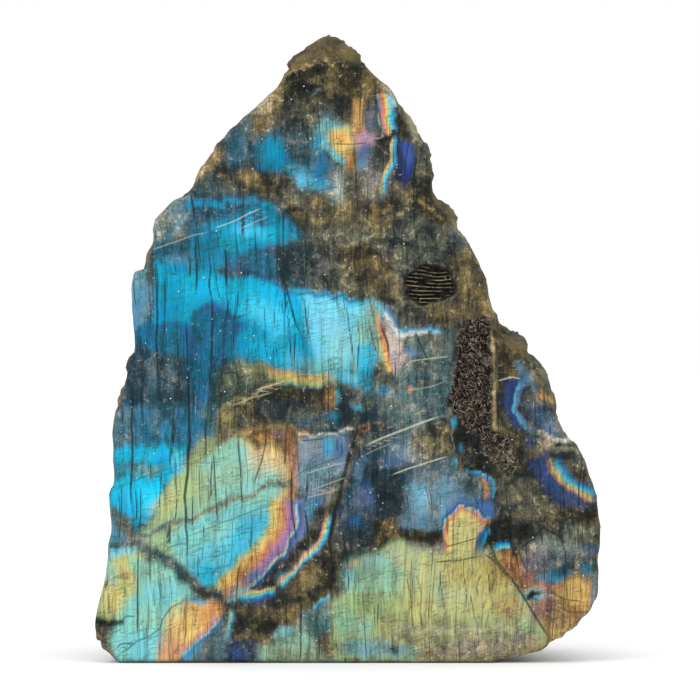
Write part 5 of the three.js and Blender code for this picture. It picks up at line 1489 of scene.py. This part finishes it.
# %% Helpers for node trees
def place(tree, kind, inputs=None, **settings):
    """A new node with its settings, its inputs joined to sockets or set to values."""
    node = tree.nodes.new(kind)
    for name, value in settings.items():
        setattr(node, name, value)
    for name, value in (inputs or {}).items():
        if isinstance(value, bpy.types.NodeSocket):
            tree.links.new(value, node.inputs[name])
        else:
            node.inputs[name].default_value = value
    return node


def work(tree, operation, first, second=0.0, third=0.0, clamp=False):
    """The result of a Math node."""
    inputs = {0: first, 1: second, 2: third}
    return place(tree, "ShaderNodeMath", inputs, operation=operation, use_clamp=clamp).outputs[0]


def step_up(tree, value, low, high):
    """0 below low, 1 above high, and a smooth step between, as a node."""
    inputs = {"Value": value, "From Min": low, "From Max": high}
    return place(tree, "ShaderNodeMapRange", inputs, interpolation_type="SMOOTHSTEP").outputs["Result"]


def mixed(tree, share, first, second):
    """Two colours mixed by a share."""
    node = place(tree, "ShaderNodeMix", data_type="RGBA")
    for socket, value in ((node.inputs[0], share), (node.inputs[6], first), (node.inputs[7], second)):
        if isinstance(value, bpy.types.NodeSocket):
            tree.links.new(value, socket)
        else:
            socket.default_value = value
    return node.outputs[2]


def mixed_number(tree, share, first, second):
    """Two numbers mixed by a share, kept between 0 and 1."""
    inputs = {"Value": share, "To Min": first, "To Max": second}
    mix = place(tree, "ShaderNodeMapRange", inputs, clamp=True).outputs["Result"]
    return work(tree, "ADD", mix, 0.0, clamp=True)


def ramp(tree, value, stops):
    """A colour ramp with stops of place and colour."""
    node = place(tree, "ShaderNodeValToRGB", {"Fac": value})
    band = node.color_ramp
    while len(band.elements) < len(stops):
        band.elements.new(0.5)
    for element, (position, colour) in zip(band.elements, stops):
        element.position = position
        element.color = linear(*colour)
    return node.outputs["Color"]


def group(name, inputs, outputs):
    """A new node group with named inputs and outputs; returns its tree, its entry and its exit."""
    tree = bpy.data.node_groups.new(name, "ShaderNodeTree")
    for socket, kind, value in inputs:
        made = tree.interface.new_socket(socket, in_out="INPUT", socket_type=kind)
        if value is not None:
            made.default_value = value
    for socket in outputs:
        tree.interface.new_socket(socket, in_out="OUTPUT", socket_type="NodeSocketFloat")
    return tree, tree.nodes.new("NodeGroupInput").outputs, tree.nodes.new("NodeGroupOutput").inputs


print("helpers: place, work, step_up, mixed, mixed_number, ramp, group")

# %% [markdown]
# ## The stone's own patterns
#
# Five small patterns repeat all over the stone: an upright grain with hairlines in it, cloudy mottling,
# crazing like that in old glaze, splinters, and glints where tiny flakes catch the light. Each is a node
# group with named inputs. They read places in millimetres, so their sizes are real sizes.

# %% Upright grain
def contour(tree, pattern, width):
    """Thin lines where a smooth pattern passes through its middle value."""
    off = work(tree, "ABSOLUTE", work(tree, "SUBTRACT", pattern, 0.5))
    return work(tree, "SUBTRACT", 1.0, step_up(tree, off, 0.0, width))


def grain_group():
    """Streaks that run up the stone: Fine and Broad from 0 to 1, dark Seams far apart and Hairlines close."""
    tree, entry, leave = group("upright grain", [("Millimetres", "NodeSocketVector", None)],
                               ("Fine", "Broad", "Seams", "Hairlines"))
    bend = place(tree, "ShaderNodeTexNoise", {"Vector": entry["Millimetres"], "Scale": 0.06, "Detail": 1.5})
    inputs = {0: bend.outputs["Color"], 1: (3.0, 3.0, 0.0)}
    sway = place(tree, "ShaderNodeVectorMath", inputs, operation="MULTIPLY")
    inputs = {0: entry["Millimetres"], 1: sway.outputs[0]}
    swayed = place(tree, "ShaderNodeVectorMath", inputs, operation="ADD").outputs[0]
    sizes = {
        "Fine": ((2.6, 2.6, 0.1), 4.0),
        "Broad": ((0.6, 0.6, 0.03), 3.0),
        "Drift": ((0.3, 0.3, 0.014), 0.0),
        "Parts": ((1.1, 1.1, 0.06), 1.0),
    }
    streaks = {}
    for name, (scale, detail) in sizes.items():
        stretched = place(tree, "ShaderNodeMapping", {"Vector": swayed, "Scale": scale})
        inputs = {"Vector": stretched.outputs[0], "Scale": 1.0, "Detail": detail, "Roughness": 0.55}
        streaks[name] = place(tree, "ShaderNodeTexNoise", inputs).outputs["Fac"]
    across = place(tree, "ShaderNodeSeparateXYZ", {"Vector": swayed}).outputs["X"]
    across = work(tree, "MULTIPLY_ADD", streaks["Drift"], 5.0, across)
    for name, spacing, width in (("Seams", 1.3, 0.16), ("Hairlines", 0.45, 0.11)):
        off = work(tree, "PINGPONG", across, spacing)
        line = work(tree, "SUBTRACT", 1.0, step_up(tree, off, 0.03, width))
        streaks[name] = work(tree, "MULTIPLY", line, step_up(tree, streaks["Parts"], 0.5, 0.6))
    for name in ("Fine", "Broad", "Seams", "Hairlines"):
        tree.links.new(streaks[name], leave[name])
    return tree


grain = grain_group()
print("group:", grain.name)


# %% Cloudy mottling
def mottle_group():
    """Clouds several millimetres across, Wisps of one or two, Grit much smaller, and crooked dark Veins."""
    tree, entry, leave = group("cloudy mottling", [("Millimetres", "NodeSocketVector", None)],
                               ("Clouds", "Wisps", "Grit", "Veins"))
    for name, scale, detail in (("Clouds", 0.28, 3.0), ("Wisps", 0.8, 3.0), ("Grit", 2.6, 3.0)):
        inputs = {"Vector": entry["Millimetres"], "Scale": scale, "Detail": detail, "Roughness": 0.62}
        inputs["Distortion"] = 0.6
        pattern = place(tree, "ShaderNodeTexNoise", inputs).outputs["Fac"]
        tree.links.new(pattern, leave[name])
        if name == "Wisps":
            tree.links.new(contour(tree, pattern, 0.022), leave["Veins"])
    return tree


mottling = mottle_group()
print("group:", mottling.name)


# %% Crazing
def crazing_group():
    """Faint curved cracks that lie across the grain, like the lines of a fingerprint."""
    tree, entry, leave = group("crazing", [("Millimetres", "NodeSocketVector", None)], ("Lines",))
    tilt = (0.0, math.radians(14), 0.0)
    laid = place(tree, "ShaderNodeMapping", {"Vector": entry["Millimetres"], "Rotation": tilt})
    stretched = place(tree, "ShaderNodeMapping", {"Vector": laid.outputs[0], "Scale": (0.14, 0.14, 0.8)})
    inputs = {"Vector": stretched.outputs[0], "Scale": 1.0, "Detail": 2.0, "Roughness": 0.6}
    inputs["Distortion"] = 0.4
    pattern = place(tree, "ShaderNodeTexNoise", inputs).outputs["Fac"]
    tree.links.new(contour(tree, pattern, 0.035), leave["Lines"])
    return tree


crazing = crazing_group()
print("group:", crazing.name)


# %% Needles
def needle_group():
    """Short thin lines that lie in all directions, like splinters of feldspar."""
    tree, entry, leave = group("needles", [("Millimetres", "NodeSocketVector", None)], ("Lines",))
    lines = 0.0
    for turn, degrees in enumerate((4, 24, 56, 88, 122, 158)):
        inputs = {"Vector": entry["Millimetres"], "Location": (7.0 * turn, 3.0 * turn, 0.0)}
        inputs["Rotation"] = (0.0, math.radians(degrees), 0.0)
        laid = place(tree, "ShaderNodeMapping", inputs)
        stretched = place(tree, "ShaderNodeMapping", {"Vector": laid.outputs[0], "Scale": (4.0, 0.42, 0.5)})
        cells = place(tree, "ShaderNodeTexVoronoi", {"Vector": stretched.outputs[0], "Scale": 1.0})
        one_way = work(tree, "SUBTRACT", 1.0, step_up(tree, cells.outputs["Distance"], 0.16, 0.36))
        chance = place(tree, "ShaderNodeSeparateColor", {"Color": cells.outputs["Color"]}).outputs[0]
        one_way = work(tree, "MULTIPLY", one_way, work(tree, "POWER", chance, 1.6))
        lines = work(tree, "MAXIMUM", one_way, lines)
    tree.links.new(lines, leave["Lines"])
    return tree


needles = needle_group()
print("group:", needles.name)


# %% Glints
def glint_group():
    """Small bright dots. Cells is how many places for one there are in a millimetre, Share the part used."""
    inputs = [("Millimetres", "NodeSocketVector", None), ("Cells", "NodeSocketFloat", 1.0),
              ("Share", "NodeSocketFloat", 0.1)]
    tree, entry, leave = group("glints", inputs, ("Dots",))
    cells = place(tree, "ShaderNodeTexVoronoi", {"Vector": entry["Millimetres"], "Scale": entry["Cells"]})
    chance = place(tree, "ShaderNodeSeparateColor", {"Color": cells.outputs["Color"]}).outputs[0]
    dot = work(tree, "SUBTRACT", 1.0, step_up(tree, cells.outputs["Distance"], 0.1, 0.24))
    lit = work(tree, "LESS_THAN", chance, entry["Share"])
    tree.links.new(work(tree, "MULTIPLY", dot, lit), leave["Dots"])
    return tree


glints = glint_group()
print("group:", glints.name)

# %% [markdown]
# ## The labradorite itself
#
# The material reads the numbers on the mesh, shakes them a little with the patterns, and looks the colours
# of the plain stone up in two ramps, a cool one and a warm one. The flash lies over it as strongly as it
# glows. Cracks darken, scratches and glints brighten. Where the stone is broken it turns dull and bumpy.

# %% The rows of colours
COOL_STONE = [
    (0.0, (10, 14, 15)),
    (0.25, (36, 47, 48)),
    (0.5, (82, 98, 94)),
    (0.75, (136, 152, 146)),
    (1.0, (216, 222, 218)),
]
WARM_STONE = [
    (0.0, (16, 14, 9)),
    (0.25, (54, 48, 31)),
    (0.5, (116, 101, 64)),
    (0.75, (174, 152, 106)),
    (1.0, (232, 216, 186)),
]
NEEDLE_COLOUR = linear(206, 184, 164)
CRACK_COLOUR = linear(16, 26, 26)
HAZE_COLOUR = linear(214, 226, 226)
GLINT_COLOUR = linear(236, 240, 240)
SCRATCH_COLOUR = linear(206, 204, 180)
print("plain stone: cool and warm, in", len(COOL_STONE), "tones each")


# %% The material
def number(tree, name):
    """A number that the mesh carries, read by the material."""
    return place(tree, "ShaderNodeAttribute", attribute_name="stone_" + name).outputs["Fac"]


def shaken(tree, value, *shakes):
    """A value moved by patterns that are 0.5 on average, each by its own amount."""
    for pattern, amount in shakes:
        value = work(tree, "MULTIPLY_ADD", work(tree, "SUBTRACT", pattern, 0.5), amount, value)
    return value


def labradorite():
    """Polished labradorite with flashes, which is dull where it is broken."""
    material = bpy.data.materials.new("labradorite")
    material.use_nodes = True
    tree = material.node_tree
    shader = tree.nodes["Principled BSDF"]
    where = place(tree, "ShaderNodeTexCoord").outputs["Object"]
    inputs = {0: where, 1: (1000.0, 1000.0, 1000.0)}
    millimetres = place(tree, "ShaderNodeVectorMath", inputs, operation="MULTIPLY").outputs[0]
    streaks = place(tree, "ShaderNodeGroup", node_tree=grain)
    clouds = place(tree, "ShaderNodeGroup", node_tree=mottling)
    net = place(tree, "ShaderNodeGroup", node_tree=crazing)
    dots = place(tree, "ShaderNodeGroup", node_tree=glints)
    splinters = place(tree, "ShaderNodeGroup", node_tree=needles)
    for node in (streaks, clouds, net, dots, splinters):
        tree.links.new(millimetres, node.inputs["Millimetres"])
    dots.inputs["Cells"].default_value = 1.2
    dots.inputs["Share"].default_value = 0.035
    fine, broad = streaks.outputs["Fine"], streaks.outputs["Broad"]
    cloud, wisp, grit = (clouds.outputs[name] for name in ("Clouds", "Wisps", "Grit"))
    splinter = splinters.outputs["Lines"]

    tone = shaken(tree, number(tree, "tone"), (cloud, 0.95), (wisp, 0.5), (fine, 0.4))
    tone = shaken(tree, tone, (broad, 0.3), (grit, 0.35))
    warm = shaken(tree, number(tree, "warm"), (cloud, 1.0), (wisp, 0.4), (broad, 0.6))
    calm = work(tree, "MULTIPLY", number(tree, "dull"), 0.6)
    tone = mixed_number(tree, calm, tone, number(tree, "tone"))
    warm = mixed_number(tree, calm, warm, number(tree, "warm"))
    plain = mixed(tree, warm, ramp(tree, tone, COOL_STONE), ramp(tree, tone, WARM_STONE))

    flash = place(tree, "ShaderNodeAttribute", attribute_name="stone_flash").outputs["Color"]
    hue = shaken(tree, 0.5, (cloud, 0.08), (fine, 0.06))
    value = shaken(tree, 1.02, (fine, 1.25), (broad, 0.7), (grit, 0.5))
    flash = place(tree, "ShaderNodeHueSaturation", {"Color": flash, "Hue": hue, "Value": value}).outputs[0]
    glow = number(tree, "glow")
    shade = shaken(tree, 1.1, (fine, 1.2), (broad, 1.4), (cloud, 0.9), (grit, 0.5))
    glow = work(tree, "MULTIPLY", glow, shade, clamp=True)
    colour = mixed(tree, glow, plain, flash)
    milk = work(tree, "POWER", number(tree, "haze"), 1.5)
    colour = mixed(tree, milk, colour, HAZE_COLOUR)

    dull = number(tree, "dull")
    smooth = work(tree, "SUBTRACT", 1.0, dull)
    torn = shaken(tree, number(tree, "crack"), (grit, 0.16), (fine, 0.12))
    crack = step_up(tree, torn, LINE_EDGE - 0.1, LINE_EDGE + 0.03)
    seams = work(tree, "MULTIPLY", streaks.outputs["Seams"], step_up(tree, cloud, 0.35, 0.5))
    hairs = work(tree, "MULTIPLY", streaks.outputs["Hairlines"], step_up(tree, broad, 0.3, 0.5))
    craze = work(tree, "MULTIPLY", net.outputs["Lines"], step_up(tree, cloud, 0.65, 0.42))
    veins = work(tree, "MULTIPLY", clouds.outputs["Veins"], step_up(tree, glow, 0.7, 0.2))
    dark = work(tree, "MAXIMUM", work(tree, "MULTIPLY", seams, 0.85), work(tree, "MULTIPLY", veins, 0.55))
    dark = work(tree, "MAXIMUM", dark, work(tree, "MULTIPLY", hairs, 0.52))
    dark = work(tree, "MAXIMUM", dark, work(tree, "MULTIPLY", craze, 0.42))
    dark = work(tree, "MULTIPLY", dark, smooth)
    dark = work(tree, "MAXIMUM", dark, work(tree, "MULTIPLY", crack, 0.86))
    aside = work(tree, "SUBTRACT", shaken(tree, number(tree, "aside"), (grit, 0.03)), 0.5)
    aside = work(tree, "MULTIPLY", work(tree, "ABSOLUTE", aside), SLANT_REACH)
    slant = work(tree, "SUBTRACT", 1.0, step_up(tree, aside, 0.3, 0.7))
    sign = work(tree, "MULTIPLY_ADD", number(tree, "slant"), 2.0, -1.0)
    slant = work(tree, "MULTIPLY", slant, sign)
    dark = work(tree, "MAXIMUM", dark, work(tree, "MULTIPLY", slant, -1.0))
    colour = mixed(tree, dark, colour, CRACK_COLOUR)

    scraped = shaken(tree, number(tree, "scratch"), (grit, 0.2))
    bright = work(tree, "MULTIPLY", step_up(tree, scraped, LINE_EDGE - 0.08, LINE_EDGE + 0.08), 0.4)
    # Painted glints: bright dots where tiny flakes catch the light, and bright flecks along the splinters
    # where the flash is faint.
    bright = work(tree, "MAXIMUM", bright, work(tree, "MULTIPLY", dots.outputs["Dots"], 0.7))
    glint_fleck = work(tree, "MULTIPLY", splinter, step_up(tree, wisp, 0.62, 0.68))
    glint_fleck = work(tree, "MULTIPLY", glint_fleck, step_up(tree, glow, 1.0, 0.3))
    bright = work(tree, "MAXIMUM", bright, work(tree, "MULTIPLY", glint_fleck, 0.65))
    # Pale scratches and the painted glints are mixed in with one light colour.
    colour = mixed(tree, bright, colour, GLINT_COLOUR)
    colour = mixed(tree, work(tree, "MAXIMUM", slant, 0.0), colour, SCRATCH_COLOUR)
    in_hollow = work(tree, "MULTIPLY", number(tree, "needles"), splinter)
    colour = mixed(tree, in_hollow, colour, NEEDLE_COLOUR)
    tree.links.new(colour, shader.inputs["Base Color"])

    rough = shaken(tree, 0.26, (grit, 0.12))
    rough = work(tree, "MULTIPLY_ADD", dull, 0.5, rough)
    rough = work(tree, "MULTIPLY_ADD", dark, 0.3, rough)
    tree.links.new(rough, shader.inputs["Roughness"])
    shader.inputs["IOR"].default_value = 1.56
    shader.inputs["Specular IOR Level"].default_value = 0.15
    height = work(tree, "ADD", work(tree, "MULTIPLY_ADD", cloud, 0.3, grit), in_hollow)
    height = work(tree, "MULTIPLY", height, dull)
    height = work(tree, "SUBTRACT", height, work(tree, "MULTIPLY", dark, 0.25))
    inputs = {"Height": height, "Strength": 0.8, "Distance": 0.8 * MM}
    bump = place(tree, "ShaderNodeBump", inputs)
    tree.links.new(bump.outputs["Normal"], shader.inputs["Normal"])
    return material


stone_material = labradorite()
skin_mesh.materials.clear()
skin_mesh.materials.append(stone_material)
skin_mesh.polygons.foreach_set("material_index", [0] * len(skin_mesh.polygons))
print("material:", stone_material.name, "with", len(stone_material.node_tree.nodes), "nodes")

# %% [markdown]
# ## Its place in the frame
#
# The finished skin stands for the frame's solid. It rides on the one body, because the stone has no joints.

# %% Join the piece to the frame
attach(chunk, "root")
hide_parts("labradorite_chunk")
print("piece:", chunk.name)

# %% [markdown]
# ## Floor, light and camera
#
# The stone stands on a plain pale floor in soft light from all around. What the camera sees behind it is
# white, but the mirror-like polish would turn grey if it reflected a white room, so reflections see a dim
# one. The camera stands far back with a long lens, just above the height of the stone's middle.

# %% Floor
FLOOR_SIZE = 6.0


def pale_floor():
    """A wide plain floor under the sawn base."""
    bm = bmesh.new()
    bmesh.ops.create_grid(bm, x_segments=1, y_segments=1, size=FLOOR_SIZE / 2)
    mesh = bpy.data.meshes.new("floor")
    bm.to_mesh(mesh)
    bm.free()
    floor = bpy.data.objects.new("floor", mesh)
    floor.location.z = chunk_low[2] - 0.1 * MM
    bpy.context.collection.objects.link(floor)
    material = bpy.data.materials.new("pale_floor")
    material.use_nodes = True
    shader = material.node_tree.nodes["Principled BSDF"]
    shader.inputs["Base Color"].default_value = (0.92, 0.92, 0.92, 1)
    shader.inputs["Roughness"].default_value = 0.9
    shader.inputs["Specular IOR Level"].default_value = 0.1
    mesh.materials.append(material)
    return floor


pale_floor()
print("floor:", FLOOR_SIZE, "m wide")


# %% Soft light
ROOM_LIGHT = 0.78
ROOM_IN_REFLECTIONS = 0.25
ROOM_SEEN = 1.0


def soft_room():
    """A white room: bright to the camera, soft on the stone and dim in its reflections."""
    world = bpy.data.worlds.new("soft_room")
    bpy.context.scene.world = world
    world.use_nodes = True
    tree = world.node_tree
    background = tree.nodes["Background"]
    ray = place(tree, "ShaderNodeLightPath").outputs
    light = work(tree, "MULTIPLY_ADD", ray["Is Glossy Ray"], ROOM_IN_REFLECTIONS - ROOM_LIGHT, ROOM_LIGHT)
    light = work(tree, "MULTIPLY_ADD", ray["Is Camera Ray"], ROOM_SEEN - ROOM_LIGHT, light)
    tree.links.new(light, background.inputs["Strength"])
    background.inputs["Color"].default_value = (1, 1, 1, 1)


def sky_light(strength, spread):
    """A wide soft light straight from above, which keeps the floor white."""
    lamp = bpy.data.lights.new("sky", "SUN")
    lamp.energy = strength
    lamp.angle = math.radians(spread)
    bpy.context.collection.objects.link(bpy.data.objects.new("sky", lamp))


def soft_box(name, place_at, aim, size, watts):
    """A square lamp that points at a place."""
    lamp = bpy.data.lights.new(name, "AREA")
    lamp.size = size
    lamp.energy = watts
    box = bpy.data.objects.new(name, lamp)
    box.location = place_at
    box.rotation_euler = (Vector(aim) - Vector(place_at)).to_track_quat("-Z", "Y").to_euler()
    bpy.context.collection.objects.link(box)


soft_room()
sky_light(1.1, 60)
soft_box("lamp_left", (-0.55, -0.45, 0.6), (0, 0, 0.06), 0.4, 1.8)
soft_box("lamp_right", (0.6, -0.35, 0.5), (0, 0, 0.06), 0.4, 1.2)
bpy.context.scene.view_settings.view_transform = "Standard"
print("lights: a white room, a wide sky and two soft boxes")

# %% Camera
LENS = 300
CAMERA_DISTANCE = 1.167
CAMERA_HEIGHT_ANGLE = math.radians(2.5)
MIDDLE_OF_VIEW = Vector((0.1, FACE_FOOT_Y + FACE_SLOPE * 62.4, 62.4)) * MM

lens = bpy.data.cameras.new("camera")
lens.lens = LENS
lens.sensor_width = 36
camera = bpy.data.objects.new("camera", lens)
back = Vector((0, -math.cos(CAMERA_HEIGHT_ANGLE), math.sin(CAMERA_HEIGHT_ANGLE)))
camera.location = MIDDLE_OF_VIEW + back * CAMERA_DISTANCE
camera.rotation_euler = (-back).to_track_quat("-Z", "Y").to_euler()
bpy.context.collection.objects.link(camera)
bpy.context.scene.camera = camera
print("camera at", [round(part, 3) for part in camera.location])
